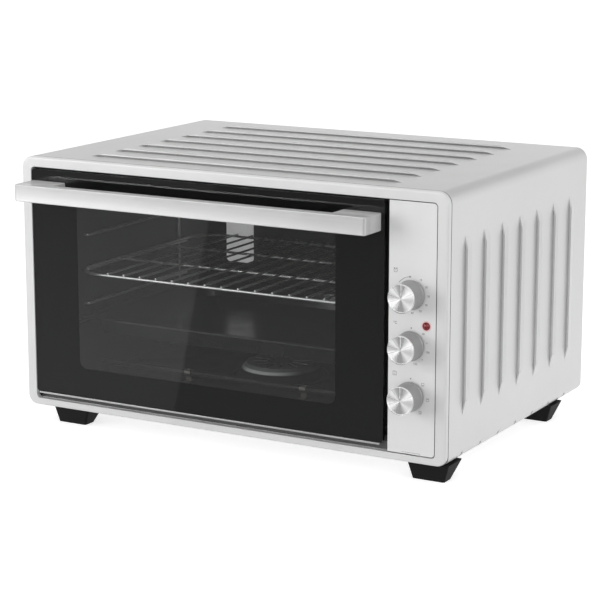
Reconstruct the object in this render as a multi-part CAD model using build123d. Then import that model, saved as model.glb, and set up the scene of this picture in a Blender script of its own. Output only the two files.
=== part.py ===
from build123d import *
from math import cos, radians, sin
import os

# Mini oven: a countertop oven with a bottom-hinged glass door, three dials at the right and louvred sides.
# Millimetres. While it is drawn, x=0 is the middle of the casing, y=0 the seam between the front frame and
# the casing (y grows to the back), and z=0 the underside of the casing. Every piece is moved to the row
# origin when it is written: the middle of the footprint, on the surface that the feet stand on.

# Casing
CASE_W = 560.0  # left to right
CASE_D = 383.0  # seam to rear edge
CASE_H = 303.0  # underside to top
CASE_R = 14.0  # upper side edges
CASE_R_LOW = 10.0  # lower side edges
SHEET = 1.0  # casing, chassis and cavity sheet
SEAM = 0.8  # groove between the front frame and the casing
FLANGE_REAR = 11.0  # inward return at the casing's rear edge
FLANGE_LOW = 85.0  # inward return under the casing, which the feet stand on

# Louvres: pressed hoods whose slits face the front
LOUVRE_COUNT = 7
LOUVRE_PITCH = 48.9
LOUVRE_RISE = 3.8  # slit and lip together
LOUVRE_LIP = 1.7  # doubled front edge over the slit
LOUVRE_SETBACK = 1.5  # lip's edge to the wall behind the slit
LOUVRE_RUN = 17.0  # slit to the end of the slope
SIDE_LOUVRE_Y = 35.0  # first slit plane on the sides
SIDE_LOUVRE_LENGTH = 200.5
SIDE_LOUVRE_Z = 150.25  # middle of a side louvre
TOP_LOUVRE_Y = 31.0  # first slit plane on the top
TOP_LOUVRE_LENGTH = 410.0
EDGE_SLOT_H = 8.0  # air slots through the lower bend
EDGE_SLOT_W = 3.4

# Front frame
FRAME_T = 6.0  # stands out of the seam
FRAME_SIDE = 13.0  # border at the sides
FRAME_TOP = 12.0
FRAME_LOW = 8.5
FRAME_WALL = 2.2
FRAME_INNER_R = 5.0
FRAME_EDGE_R = 2.6
FRAME_R_LOW = 12.0

# Feet: tapered blocks, set in further at the left than at the right
FOOT_H = 20.0
FOOT_TOP_W = 51.0
FOOT_TOP_D = 36.5
FOOT_LOW_W = 39.0
FOOT_LOW_D = 18.0
FOOT_LEAN = 7.0  # how far the lower face sits forward of the top's middle
FOOT_INSET_LEFT = 57.5  # casing's end to the foot's middle
FOOT_INSET_RIGHT = 25.5
FOOT_GAP_FRONT = 1.5  # from the seam to the front feet's tops
FOOT_GAP_REAR = 59.0  # from the rear feet's tops to the casing's rear edge
FOOT_EDGE_R = 2.5
FOOT_SCREW_R = 2.0
FOOT_HEAD_R = 4.0
FOOT_HEAD_T = 3.0
FOOT_WELL_R = 5.5
FOOT_WELL_H = 13.0

# Cavity
CAVITY_SIDE_GAP = 45.0  # casing side to the cavity's left wall
CAVITY_BAY_GAP = 30.0  # cavity's right wall to the heat shield
CAVITY_FLOOR_Z = 27.0
CAVITY_H = 243.0
CAVITY_FRONT = 13.0  # face that the closed door stands in front of
CAVITY_REAR_GAP = 44.0  # cavity to the casing's rear edge
CAVITY_MOUTH_R = 6.0
LEDGE_UP = 76.0  # floor to the top of the pressed ledges that carry the tray
LEDGE_W = 12.0
LEDGE_SLOPE = 7.2
LEDGE_END_GAP = 10.0
DOME_R = 56.0
DOME_TOP_R = 42.0
DOME_H = 17.0
DOME_FROM_FRONT = 163.0
DOME_SHEET = 0.8
DOME_FLANGE = 4.0  # flat ring that lies on the floor
DOME_EDGE = 4.0  # sloped edge round the top
DOME_SLOTS = 12
DOME_SLOT_W = 4.0
DOME_SLOT_L = 21.0
DOME_SLOT_R = 26.0  # middle of a slot from the dome's axis

# Wire runners, rack and tray
WIRE_R = 1.5
RAIL_OFF = 5.0  # middle of a rail from the cavity wall
RAIL_UP = 133.0  # floor to the middle level
RAIL_PITCH = 42.2
RAIL_LEVELS = (-1, 0, 1)
RAIL_FRONT = 43.0  # behind the cavity's mouth
RAIL_POST = 251.0
RAIL_POST_TOP = 8.0  # how far the post reaches past the outer levels
RAIL_HOOK = 14.0
RAIL_BEND = 2.1
RAIL_END_GAP = 0.15  # wire's end to the cavity wall
REST_GAP = 0.3  # between a resting piece and what carries it
RACK_FRONT = 8.0  # rim rod behind the cavity's mouth
RACK_DEPTH = 295.0
RACK_INSET = 0.8  # rim rod inside the rails' middle lines
RACK_CORNER_R = 40.0
RACK_BARS = 14
RACK_BAR_PITCH = 22.5
RACK_BAR_R = 1.3
RACK_CROSS = (99.0, 197.0)  # cross rods behind the rim rod
WELD = 0.3  # how far crossing wires sink into each other
TRAY_FRONT = 24.0
TRAY_LENGTH = 281.0
TRAY_SIDE_GAP = 3.5
TRAY_DEPTH = 20.0
TRAY_WALL = 0.8
TRAY_RIM = 9.0
TRAY_LIP = 2.2
TRAY_TAPER = 6.0
TRAY_CORNER_R = 34.0

# Heaters and what hangs in the cavity
HEATER_R = 3.3
HEATER_PITCH = 170.0
HEATER_DROP = 13.0  # under the ceiling
HEATER_RISE = 11.0  # over the floor
HEATER_PAST_WALL = 10.0
HEATER_PIN_R = 1.5
HEATER_PIN = 12.0
HEATER_HOLE_GAP = 0.3
CLIP_W = 8.0
CLIP_T = 1.0
CLIP_PITCH = 160.0
BULB_R = 3.0
BULB_LENGTH = 90.0
BULB_INSET = 12.0
BULB_DROP = 3.0
BULB_CLIP_W = 4.0
BULB_CLIP_INSET = 14.0
LAMP_INSET = 33.0  # from the cavity's left wall
LAMP_W = 37.0
LAMP_UP = 99.0
LAMP_H = 66.0
LAMP_T = 9.0
LAMP_WALL = 2.0
LAMP_R = 5.0

# Door
HINGE_Y = 2.0
HINGE_UP = 2.0  # above the pane's lower edge
DOOR_SIDE_GAP = 1.4
DOOR_TOP_GAP = 2.0
DOOR_BAND = 5.0  # open strip between the pane and the control panel
GLASS_FRONT = -7.0
GLASS_T = 4.0
GLASS_R = 4.0
BORDER_T = 0.4  # black enamel behind the glass
BORDER_LEFT = 62.6
BORDER_RIGHT = 61.6
BORDER_LOW = 35.5
BORDER_TOP = 27.0
WINDOW_R = 9.0
INNER_SIDE = 7.4  # pressed inner frame inside the pane's edges
INNER_LOW = 6.0
INNER_TOP = 4.0
INNER_REAR_GAP = 1.0  # between the closed door and the chassis
INNER_T = 1.2
INNER_LIP = 11.0
INNER_WINDOW_GAP = 5.0  # the frame's cut-out stays hidden behind the enamel
TRIM_H = 2.0
TRIM_PROUD = 0.3
TRIM_REAR = -2.4

# Handle
HANDLE_INSET = (1.6, 4.5)  # inside the pane's left and right edges
HANDLE_DROP = 14.0  # under the pane's upper edge
HANDLE_H = 20.0
HANDLE_STAND = 25.0  # glass to the bar
HANDLE_T = 12.0
HANDLE_R = 3.0
HANDLE_EDGE = 0.8
HANDLE_BLOCK_W = 46.8
HANDLE_SCREW_R = 2.0
HANDLE_HEAD_R = 3.8
HANDLE_HEAD_T = 2.2
HANDLE_SCREW_L = 14.0  # past the glass into the block
HANDLE_SCREW_PITCH = 24.0
SCREW_GAP = 0.15

# Hinge
PIN_R = 2.0
PIN_GAP = 0.05
PIN_HEAD_R = 3.2
PIN_HEAD_T = 1.2
PIN_PAST = 1.0  # past the bracket and past the ear
EYE_R = 4.2
EYE_GAP = 0.4  # between the door's ear and its bracket
BRACKET_T = 3.0
BRACKET_ARM = 6.0
BRACKET_FOOT = (3.3, 12.5)  # foot below and above the hinge line
STAY_R = 60.0
STAY_W = 8.0
STAY_T = 2.5
STAY_TAIL = -12.0  # degrees below the hinge's level
STAY_HOOK = 4.0
STAY_FOOT_W = 12.0
STAY_FOOT_H = 20.0
STAY_HEAD = 84.0
STAY_OUT = 12.5  # from the cavity wall to the stay's middle
STAY_SLOT_GAP = 1.5
SILL_GAP = 0.28  # between the swing of the door's lower trim and the sill
SILL_T = 0.6
SILL_END = -25.0

# Control panel, dials and lamp
PANEL_W = 57.4
PANEL_GAP = 0.6  # to the front frame's opening
PANEL_FRONT = -5.5
PANEL_T = 1.2
PANEL_LIP_W = 22.0
PANEL_LIP_H = 1.2
DIAL_INSET = 27.5  # from the panel's left edge
DIAL_UP = 66.3  # lowest dial over the panel's lower edge
DIAL_PITCH = 56.5
KNOB_R = 15.6
KNOB_BASE_R = 16.4
KNOB_FRONT = -32.0
KNOB_REAR = -7.0
KNOB_WALL = 1.8
KNOB_BASE_H = 3.0
CAP_R = 16.0
CAP_T = 2.4
CAP_RIM = 1.2
CAP_DISH = 0.5
POINTER_W = 1.2
POINTER_L = 9.5
SHAFT_R = 3.0
SHAFT_GAP = 0.05
SHAFT_FLAT = 2.2
HUB_R = 5.2
NOSE_R = 4.7
NOSE_GAP = 0.3
SHAFT_DEPTH = 10.0
UNIT_SIZES = ((44.0, 44.0, 36.0), (38.0, 30.0, 30.0), (40.0, 40.0, 26.0))
UNIT_PLATE = 1.5
UNIT_EDGE = 2.0  # plate outside the body
UNIT_TAB = (0.8, 6.2, 8.0)
UNIT_TAB_PITCH = 12.0
NOSE_PROUD = 0.6
LENS_RIGHT = 18.2  # from the dials' line
LENS_UP = 23.5  # above the middle dial
LENS_R = 3.5
LENS_PROUD = 1.8
LENS_COLLAR_R = 4.4
LENS_COLLAR_T = 0.6
HOLDER_R = 4.8
HOLDER_L = 16.0
LENS_STEM = 6.0  # behind the panel
BAY_RIM = 3.0  # chassis rim that the control panel seats on

# Back of the oven
BAY_SLOTS = 7  # upright slots behind the controls
BAY_SLOT = (2.4, 46.0)
BAY_SLOT_PITCH = 6.0
BAY_SLOT_DOWN = 67.0
REAR_SLOTS = 9  # level slots behind the cavity, in two fields
REAR_SLOT = (9.8, 3.0)
REAR_SLOT_PITCH = 14.0
REAR_SLOT_DOWN = 43.0
REAR_FIELD_PITCH = 180.0
REAR_SCREW_R = 2.0
REAR_HEAD_R = 3.6
REAR_HEAD_T = 1.8
REAR_SCREW_L = 7.0
REAR_SCREW_UP = 20.0  # casing's corner to the side screws, less the flange
GLAND_UP = 44.0
GLAND_R = 8.0
GLAND_BORE_R = 3.6
GLAND_FLANGE_R = 11.0
GLAND_FLANGE_T = 3.0
GLAND_TAIL = 5.0  # inside the back sheet
GLAND_NOSE_WALL = 2.0
GLAND_PROUD = 7.0
TERMINAL_SIZE = (46.0, 20.0, 18.0)
TERMINAL_IN = 45.0  # back sheet to the block's middle
TERMINAL_PITCH = 13.8
TERMINAL_SCREW_R = 4.1
TERMINAL_WIRE_R = 2.8
PARTITION_GAP = 4.0  # heat shield to the control panel's left edge
SHIELD_SLOT = (4.0, 40.0)
SHIELD_SLOT_PITCH = 16.0
SHIELD_SLOT_DOWN = 54.5
SHIELD_SLOT_IN = 60.0  # cavity's back to the first slot
BASE_SLOT_W = 4.0
BASE_SLOT_L = 44.0
BASE_SLOTS = 6
BASE_SLOT_PITCH = 22.0

# Values that follow from the ones above
HALF_W = CASE_W / 2
INSIDE_W = HALF_W - SHEET
BASE_TOP = 2 * SHEET
REAR_FACE = CASE_D - SHEET
OPENING_X = HALF_W - FRAME_SIDE
OPENING_TOP = CASE_H - FRAME_TOP
PANEL_X = (OPENING_X - PANEL_GAP - PANEL_W, OPENING_X - PANEL_GAP)
PANEL_Z = (FRAME_LOW + PANEL_GAP, OPENING_TOP - PANEL_GAP)
PANEL_R = FRAME_INNER_R - PANEL_GAP
DIAL_X = PANEL_X[0] + DIAL_INSET
DIAL_Z = tuple(PANEL_Z[0] + DIAL_UP + i * DIAL_PITCH for i in (2, 1, 0))  # timer, thermostat, function
LENS_X = DIAL_X + LENS_RIGHT
LENS_Z = DIAL_Z[1] + LENS_UP
TRIM_SWING = ((HINGE_Y - GLASS_FRONT + TRIM_PROUD) ** 2 + (HINGE_UP + TRIM_H) ** 2) ** 0.5
SILL_R = TRIM_SWING + SILL_GAP
HINGE_Z = FRAME_LOW + SILL_T + SILL_R
GLASS_X = (DOOR_SIDE_GAP - OPENING_X, PANEL_X[0] - DOOR_BAND)
GLASS_Z = (HINGE_Z - HINGE_UP, OPENING_TOP - DOOR_TOP_GAP)
GLASS_REAR = GLASS_FRONT + GLASS_T
BORDER_REAR = GLASS_REAR + BORDER_T
WINDOW_X = (GLASS_X[0] + BORDER_LEFT, GLASS_X[1] - BORDER_RIGHT)
WINDOW_Z = (GLASS_Z[0] + BORDER_LOW, GLASS_Z[1] - BORDER_TOP)
INNER_X = (GLASS_X[0] + INNER_SIDE, GLASS_X[1] - INNER_SIDE)
INNER_Z = (GLASS_Z[0] + INNER_LOW, GLASS_Z[1] - INNER_TOP)
INNER_REAR = CAVITY_FRONT - INNER_REAR_GAP
HANDLE_X = (GLASS_X[0] + HANDLE_INSET[0], GLASS_X[1] - HANDLE_INSET[1])
HANDLE_Z = (GLASS_Z[1] - HANDLE_DROP - HANDLE_H, GLASS_Z[1] - HANDLE_DROP)
HANDLE_FRONT = GLASS_FRONT - HANDLE_STAND - HANDLE_T
HANDLE_LEFT = (HANDLE_X[0], HANDLE_X[0] + HANDLE_BLOCK_W)
HANDLE_RIGHT = (HANDLE_X[1] - HANDLE_BLOCK_W, HANDLE_X[1])
BRACKET_FOOT_Z = (HINGE_Z - BRACKET_FOOT[0], HINGE_Z + BRACKET_FOOT[1])
PARTITION_X = PANEL_X[0] - PARTITION_GAP
CAVITY_X = (CAVITY_SIDE_GAP - HALF_W, PARTITION_X - CAVITY_BAY_GAP)
CAVITY_Z = (CAVITY_FLOOR_Z, CAVITY_FLOOR_Z + CAVITY_H)
CAVITY_BACK = CASE_D - CAVITY_REAR_GAP
CAVITY_MID = (CAVITY_X[0] + CAVITY_X[1]) / 2
BAY_WINDOW_X = (PANEL_X[0] + BAY_RIM, PANEL_X[1] - BAY_RIM)
BAY_WINDOW_Z = (PANEL_Z[0] + BAY_RIM, PANEL_Z[1] - BAY_RIM)
DOME_X = CAVITY_MID
DOME_Y = CAVITY_FRONT + DOME_FROM_FRONT
LEDGE_Z = CAVITY_Z[0] + LEDGE_UP
RAIL_X = (CAVITY_X[0] + RAIL_OFF, CAVITY_X[1] - RAIL_OFF)
RAIL_Y = (CAVITY_FRONT + RAIL_FRONT, CAVITY_FRONT + RAIL_POST)
RAIL_Z = CAVITY_Z[0] + RAIL_UP
ROD_Z = RAIL_Z + 2 * WIRE_R + REST_GAP
RACK_X = (RAIL_X[0] + RACK_INSET, RAIL_X[1] - RACK_INSET)
RACK_Y = (CAVITY_FRONT + RACK_FRONT, CAVITY_FRONT + RACK_FRONT + RACK_DEPTH)
TRAY_Y = (CAVITY_FRONT + TRAY_FRONT, CAVITY_FRONT + TRAY_FRONT + TRAY_LENGTH)
HEATER_Y = (DOME_Y - HEATER_PITCH / 2, DOME_Y + HEATER_PITCH / 2)
HEATER_TOP_Z = CAVITY_Z[1] - HEATER_DROP
HEATER_LOW_Z = CAVITY_Z[0] + HEATER_RISE
CLIP_X = (CAVITY_MID - CLIP_PITCH / 2, CAVITY_MID + CLIP_PITCH / 2)
LAMP_X = (CAVITY_X[0] + LAMP_INSET, CAVITY_X[0] + LAMP_INSET + LAMP_W)
LAMP_Z = (CAVITY_Z[0] + LAMP_UP, CAVITY_Z[0] + LAMP_UP + LAMP_H)
BAY_SLOT_Z = CASE_H - BAY_SLOT_DOWN
REAR_SLOT_Z = CASE_H - REAR_SLOT_DOWN
GLAND_X = DIAL_X
GLAND_Z = GLAND_UP
SWITCH_SEAT = PANEL_FRONT + PANEL_T
KNOB_DECK = KNOB_FRONT + CAP_T
FRONT_Y = HANDLE_FRONT
BACK_Y = CASE_D + GLAND_PROUD
ORIGIN = Pos(0, -(FRONT_Y + BACK_Y) / 2, FOOT_H)


def span_box(x, y, z):
    """Box between two limits along each axis."""
    size = Box(x[1] - x[0], y[1] - y[0], z[1] - z[0])
    return Pos((x[0] + x[1]) / 2, (y[0] + y[1]) / 2, (z[0] + z[1]) / 2) * size


def spread(count, pitch):
    """Places of a row about its middle."""
    return [(i - (count - 1) / 2) * pitch for i in range(count)]


def front_rect(x, z, r=0.0):
    """Front-view rectangle, x across and z up, with rounded corners where r is given."""
    width = x[1] - x[0]
    height = z[1] - z[0]
    shape = RectangleRounded(width, height, r) if r else Rectangle(width, height)
    return Pos((x[0] + x[1]) / 2, (z[0] + z[1]) / 2) * shape


def front_slab(sketch, y0, y1):
    """Solid with a front-view outline, from y0 back to y1."""
    plane = Plane(origin=(0, y1, 0), x_dir=(1, 0, 0), z_dir=(0, -1, 0))
    return extrude(plane * sketch, amount=y1 - y0)


def side_slab(sketch, x0, x1):
    """Solid with a side-view outline, y across and z up, from x0 to x1."""
    return extrude(Plane.YZ.offset(x0) * sketch, amount=x1 - x0)


def turned(profile, x, z):
    """Solid turned about a front-to-back axis at x, z. The profile lists (radius, y) points."""
    face = make_face(Plane.XY * Polyline(*profile, close=True))
    return Pos(x, 0, z) * revolve(face, axis=Axis.Y)


def round_bar(radius, x, y, z):
    """Cylinder along whichever of x, y, z is given as a pair of limits."""
    spans = [isinstance(v, tuple) for v in (x, y, z)]
    mid = [(v[0] + v[1]) / 2 if isinstance(v, tuple) else v for v in (x, y, z)]
    along = spans.index(True)
    limits = (x, y, z)[along]
    turn = (Rot(0, 90, 0), Rot(90, 0, 0), Rot(0, 0, 0))[along]
    return Pos(*mid) * turn * Cylinder(radius, limits[1] - limits[0])


def bent_wire(points, radius, bend):
    """Round wire through the points with rounded bends."""
    path = FilletPolyline(*points, radius=bend)
    section = Plane(origin=path @ 0, z_dir=path % 0) * Circle(radius)
    return sweep(section, path=path)


def casing_outline(inset=0.0):
    """Front view of the casing with its rounded edges, drawn inwards by the inset."""
    half = HALF_W - inset
    shape = front_rect((-half, half), (inset, CASE_H - inset))
    corners = shape.vertices().sort_by(Axis.Y)
    shape = fillet(corners[2:], CASE_R - inset)
    corners = shape.vertices().sort_by(Axis.Y)
    return fillet(corners[:2], CASE_R_LOW - inset)


def louvre(length, drop):
    """Hood over the XY plane: slit along X facing -Y, slope to +Y, ends falling away as quarter cones."""
    half = length / 2 - LOUVRE_RUN
    points = ((0, -drop), (LOUVRE_RUN, -drop), (LOUVRE_RUN, 0), (0, LOUVRE_RISE))
    profile = Plane.YZ * make_face(Polyline(*points, close=True))
    middle = Pos(-half, 0, 0) * extrude(profile, amount=2 * half, dir=(1, 0, 0))
    left = Pos(-half, 0, 0) * revolve(profile, axis=Axis.Z, revolution_arc=90)
    return middle + left + mirror(left, about=Plane.YZ)


def louvre_slit(length):
    """Cut under a louvre's lip: the hood's own shape, lower by the lip and as deep as the set-back."""
    low = Pos(0, -SHEET, -LOUVRE_LIP) * louvre(length, SHEET)
    return low & span_box((-length, length), (-SHEET, LOUVRE_SETBACK), (0, LOUVRE_RISE))


def louvre_hollow(length):
    """Space inside a louvre, one sheet behind the slit's wall and one sheet under the slope."""
    back = LOUVRE_SETBACK + SHEET
    return Pos(0, back, -SHEET - LOUVRE_RISE * back / LOUVRE_RUN) * louvre(length, SHEET)


def louvre_places():
    """Where each louvre lies: (location, length)."""
    places = []
    for i in range(LOUVRE_COUNT):
        top = Pos(0, TOP_LOUVRE_Y + i * LOUVRE_PITCH, CASE_H)
        side_y = SIDE_LOUVRE_Y + i * LOUVRE_PITCH
        places.append((top, TOP_LOUVRE_LENGTH))
        places.append((Pos(HALF_W, side_y, SIDE_LOUVRE_Z) * Rot(0, 90, 0), SIDE_LOUVRE_LENGTH))
        places.append((Pos(-HALF_W, side_y, SIDE_LOUVRE_Z) * Rot(0, -90, 0), SIDE_LOUVRE_LENGTH))
    return places


def make_casing_wrap():
    """Top, sides and lower returns bent from one sheet, with the louvres pressed out of it."""
    skin = casing_outline() - casing_outline(SHEET)
    gap = front_rect((FLANGE_LOW - HALF_W, HALF_W - FLANGE_LOW), (-SHEET, SHEET * 1.5))
    wrap = front_slab(skin - gap, SEAM, CASE_D)
    front_hole = front_rect((-OPENING_X, OPENING_X), (-SHEET, OPENING_TOP))
    wrap += front_slab(casing_outline() - front_hole, SEAM, SEAM + SHEET)
    rear_half = HALF_W - FLANGE_REAR
    rear_hole = front_rect((-rear_half, rear_half), (FLANGE_REAR, CASE_H - FLANGE_REAR))
    wrap += front_slab(casing_outline() - rear_hole, CASE_D - SHEET, CASE_D)
    wrap += [place * louvre(length, SHEET / 2) for place, length in louvre_places()]
    wrap -= [place * louvre_slit(length) for place, length in louvre_places()]
    wrap -= [place * louvre_hollow(length) for place, length in louvre_places()]
    slots = []
    for i in range(LOUVRE_COUNT):
        y = SIDE_LOUVRE_Y + i * LOUVRE_PITCH
        for side in (-1, 1):
            x = sorted((side * (HALF_W - CASE_R_LOW * 0.6), side * (HALF_W + SHEET)))
            slots.append(span_box(x, (y, y + EDGE_SLOT_W), (-SHEET, EDGE_SLOT_H)))
    return wrap - slots - base_cuts() - rear_screw_holes()


def make_bottom_panel():
    """Base sheet on the casing's lower returns, with air slots and a front upstand behind the front frame."""
    half = HALF_W - CASE_R_LOW
    sheet = span_box((-half, half), (SEAM + SHEET, REAR_FACE - SHEET), (SHEET, BASE_TOP))
    sheet += span_box((-OPENING_X, OPENING_X), (SEAM, SEAM + SHEET), (SHEET, FRAME_LOW))
    return sheet - base_cuts()


def base_cuts():
    """Air slots and foot screw holes through the base and the casing's lower returns."""
    cuts = []
    for shift in spread(BASE_SLOTS, BASE_SLOT_PITCH):
        for x in (DIAL_X, CAVITY_MID - BASE_SLOT_L, CAVITY_MID + BASE_SLOT_L):
            cuts.append(Pos(x, DOME_Y + shift, SHEET) * Box(BASE_SLOT_L, BASE_SLOT_W, 4 * SHEET))
    for x, y in foot_centres():
        cuts.append(round_bar(FOOT_SCREW_R + SCREW_GAP, x, y, (-SHEET, BASE_TOP + SHEET)))
    return cuts


def rear_screw_places():
    """Screws round the rear panel's edge: (x, z)."""
    x = HALF_W - FLANGE_REAR / 2 - SHEET
    low = FLANGE_REAR / 2 + SHEET
    high = CASE_H - low
    side_z = (low + REAR_SCREW_UP, high - REAR_SCREW_UP)
    return [(x * side, z) for z in side_z for side in (-1, 1)] + [(0, high)]


def rear_screw_holes():
    """Clearance holes for the rear screws through the casing's rear return and the rear panel."""
    y = (REAR_FACE - 2 * SHEET, CASE_D + SHEET)
    return [round_bar(REAR_SCREW_R + SCREW_GAP, x, y, z) for x, z in rear_screw_places()]


def make_rear_panel():
    """Back sheet behind the casing's rear return, with air slots, the lead's hole and screw holes."""
    panel = front_slab(casing_outline(SHEET), REAR_FACE - SHEET, REAR_FACE)
    slots = []
    for shift in spread(BAY_SLOTS, BAY_SLOT_PITCH):
        slots.append(Pos(DIAL_X + shift, REAR_FACE, BAY_SLOT_Z) * Box(BAY_SLOT[0], 4 * SHEET, BAY_SLOT[1]))
    for middle in spread(2, REAR_FIELD_PITCH):
        for shift in spread(REAR_SLOTS, REAR_SLOT_PITCH):
            x = CAVITY_MID + middle + shift
            slots.append(Pos(x, REAR_FACE, REAR_SLOT_Z) * Box(REAR_SLOT[0], 4 * SHEET, REAR_SLOT[1]))
    hole = round_bar(GLAND_R + SCREW_GAP, GLAND_X, (REAR_FACE - 2 * SHEET, CASE_D), GLAND_Z)
    return panel - slots - hole - rear_screw_holes()


def make_rear_screws():
    """Pan-head screws through the casing's rear return."""
    screws = []
    for x, z in rear_screw_places():
        profile = (
            (0, CASE_D + REAR_HEAD_T),
            (REAR_HEAD_R * 0.7, CASE_D + REAR_HEAD_T),
            (REAR_HEAD_R, CASE_D + REAR_HEAD_T * 0.4),
            (REAR_HEAD_R, CASE_D),
            (REAR_SCREW_R, CASE_D),
            (REAR_SCREW_R, CASE_D - REAR_SCREW_L),
            (0, CASE_D - REAR_SCREW_L),
        )
        screws.append(turned(profile, x, z))
    return Compound(children=screws)


def make_cord_gland():
    """Bush where the supply lead would leave: a flanged collar with a tapered nose and a through bore."""
    tail = REAR_FACE - SHEET - GLAND_TAIL
    collar = REAR_FACE + GLAND_FLANGE_T
    profile = (
        (GLAND_BORE_R, tail),
        (GLAND_R, tail),
        (GLAND_R, REAR_FACE),
        (GLAND_FLANGE_R, REAR_FACE),
        (GLAND_FLANGE_R, collar),
        (GLAND_R, collar + SHEET),
        (GLAND_BORE_R + GLAND_NOSE_WALL, CASE_D + GLAND_PROUD),
        (GLAND_BORE_R, CASE_D + GLAND_PROUD),
    )
    return turned(profile, GLAND_X, GLAND_Z)


def make_terminal_block():
    """Terminal block on the base, where the lead's wires would end."""
    depth, height = TERMINAL_SIZE[1:]
    y = REAR_FACE - SHEET - TERMINAL_IN
    block = Pos(GLAND_X, y, BASE_TOP + height / 2) * Box(*TERMINAL_SIZE)
    pockets = []
    for shift in spread(3, TERMINAL_PITCH):
        x = GLAND_X + shift
        pockets.append(round_bar(TERMINAL_SCREW_R, x, y, (BASE_TOP + height / 2, BASE_TOP + 2 * height)))
        pockets.append(round_bar(TERMINAL_WIRE_R, x, (y - depth, y + depth), BASE_TOP + height / 3))
    return block - pockets


def make_front_frame():
    """Moulded front frame: rounded outside, hollow behind, with an inner wall round the opening."""
    outer = front_rect((-HALF_W, HALF_W), (0, CASE_H))
    corners = outer.vertices().sort_by(Axis.Y)
    outer = fillet(corners[2:], CASE_R)
    outer = fillet(outer.vertices().sort_by(Axis.Y)[:2], FRAME_R_LOW)
    hole = front_rect((-OPENING_X, OPENING_X), (FRAME_LOW, OPENING_TOP), FRAME_INNER_R)
    wall_x = OPENING_X + FRAME_WALL
    wall_z = (FRAME_LOW - FRAME_WALL, OPENING_TOP + FRAME_WALL)
    around = front_rect((-wall_x, wall_x), wall_z, FRAME_INNER_R + FRAME_WALL)
    block = front_slab(outer, -FRAME_T, 0)
    front_edges = block.faces().sort_by(Axis.Y)[0].edges()
    block = fillet(front_edges, FRAME_EDGE_R)
    hollow = offset(outer, amount=-FRAME_WALL) - around
    block -= front_slab(hollow, -FRAME_T + FRAME_WALL, 0)
    block += front_slab(around, -FRAME_T / 2, SEAM)
    return block - front_slab(hole, -2 * FRAME_T, 2 * FRAME_T)


def make_foot(x, y):
    """Tapered block with a screw well from below, upright in front and leaning back behind."""
    top = Pos(0, FOOT_LEAN, 0) * RectangleRounded(FOOT_TOP_W, FOOT_TOP_D, FOOT_EDGE_R)
    low = Pos(0, 0, -FOOT_H) * RectangleRounded(FOOT_LOW_W, FOOT_LOW_D, FOOT_EDGE_R)
    foot = loft([low, top], ruled=True)
    foot -= round_bar(FOOT_WELL_R, 0, 0, (-FOOT_H * 2, FOOT_WELL_H - FOOT_H))
    foot -= round_bar(FOOT_SCREW_R + SCREW_GAP, 0, 0, (-FOOT_H, FOOT_H))
    return Pos(x, y, 0) * foot


def foot_centres():
    """Middle of each foot's lower face: front left, front right, rear left, rear right."""
    front = FOOT_GAP_FRONT + FOOT_TOP_D / 2 - FOOT_LEAN
    rear = CASE_D - FOOT_GAP_REAR - FOOT_TOP_D / 2 - FOOT_LEAN
    return [(x, y) for y in (front, rear) for x in (FOOT_INSET_LEFT - HALF_W, HALF_W - FOOT_INSET_RIGHT)]


def make_foot_screws():
    """Screws up through the feet into the base."""
    screws = []
    seat = FOOT_WELL_H - FOOT_H
    for x, y in foot_centres():
        head = round_bar(FOOT_HEAD_R, x, y, (seat - FOOT_HEAD_T, seat))
        screws.append(head + round_bar(FOOT_SCREW_R, x, y, (seat, BASE_TOP)))
    return Compound(children=screws)


def make_cavity_front():
    """Chassis front: the cavity's mouth, the control bay's window and the slots for the door stays."""
    plate = front_slab(casing_outline(SHEET), CAVITY_FRONT, CAVITY_FRONT + SHEET)
    plate -= span_box((-HALF_W, HALF_W), (0, CASE_D), (0, BASE_TOP))
    mouth = front_rect(CAVITY_X, CAVITY_Z, CAVITY_MOUTH_R)
    bay = front_rect(BAY_WINDOW_X, BAY_WINDOW_Z, BAY_RIM)
    reach = CAVITY_FRONT - HINGE_Y
    low = HINGE_Z + ((STAY_R - STAY_W / 2) ** 2 - (reach + SHEET) ** 2) ** 0.5 - STAY_SLOT_GAP
    high = HINGE_Z + ((STAY_R + STAY_W / 2) ** 2 - reach**2) ** 0.5 + STAY_SLOT_GAP
    cuts = mouth + bay
    for x in stay_centres():
        half = STAY_T / 2 + STAY_SLOT_GAP
        cuts += front_rect((x - half, x + half), (low, high))
    return plate - front_slab(cuts, CAVITY_FRONT - SHEET, CAVITY_FRONT + 3 * SHEET)


def make_cavity_shell():
    """Cavity sides and ceiling in one bent sheet, with the tray's ledges and the heater holes."""
    y = (CAVITY_FRONT + SHEET, CAVITY_BACK)
    around = (CAVITY_X[0] - SHEET, CAVITY_X[1] + SHEET)
    outside = front_rect(around, (CAVITY_Z[0] - SHEET, CAVITY_Z[1] + SHEET))
    inside = front_rect(CAVITY_X, (CAVITY_Z[0] - 2 * SHEET, CAVITY_Z[1]))
    shell = front_slab(outside - inside, *y)
    for side, wall in ((1, CAVITY_X[0]), (-1, CAVITY_X[1])):
        ledge_y = (y[0] + LEDGE_END_GAP, y[1] - LEDGE_END_GAP)
        corners = (
            (wall - side * SHEET, LEDGE_Z - LEDGE_SLOPE - SHEET),
            (wall + side * LEDGE_W, LEDGE_Z - SHEET),
            (wall + side * LEDGE_W, LEDGE_Z),
            (wall - side * SHEET, LEDGE_Z),
        )
        shell += front_slab(make_face(Polyline(*corners, close=True)), *ledge_y)
    hole_r = HEATER_R + HEATER_HOLE_GAP
    return shell - [round_bar(hole_r, (-HALF_W, HALF_W), hy, hz) for hy, hz in heater_places()]


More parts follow.
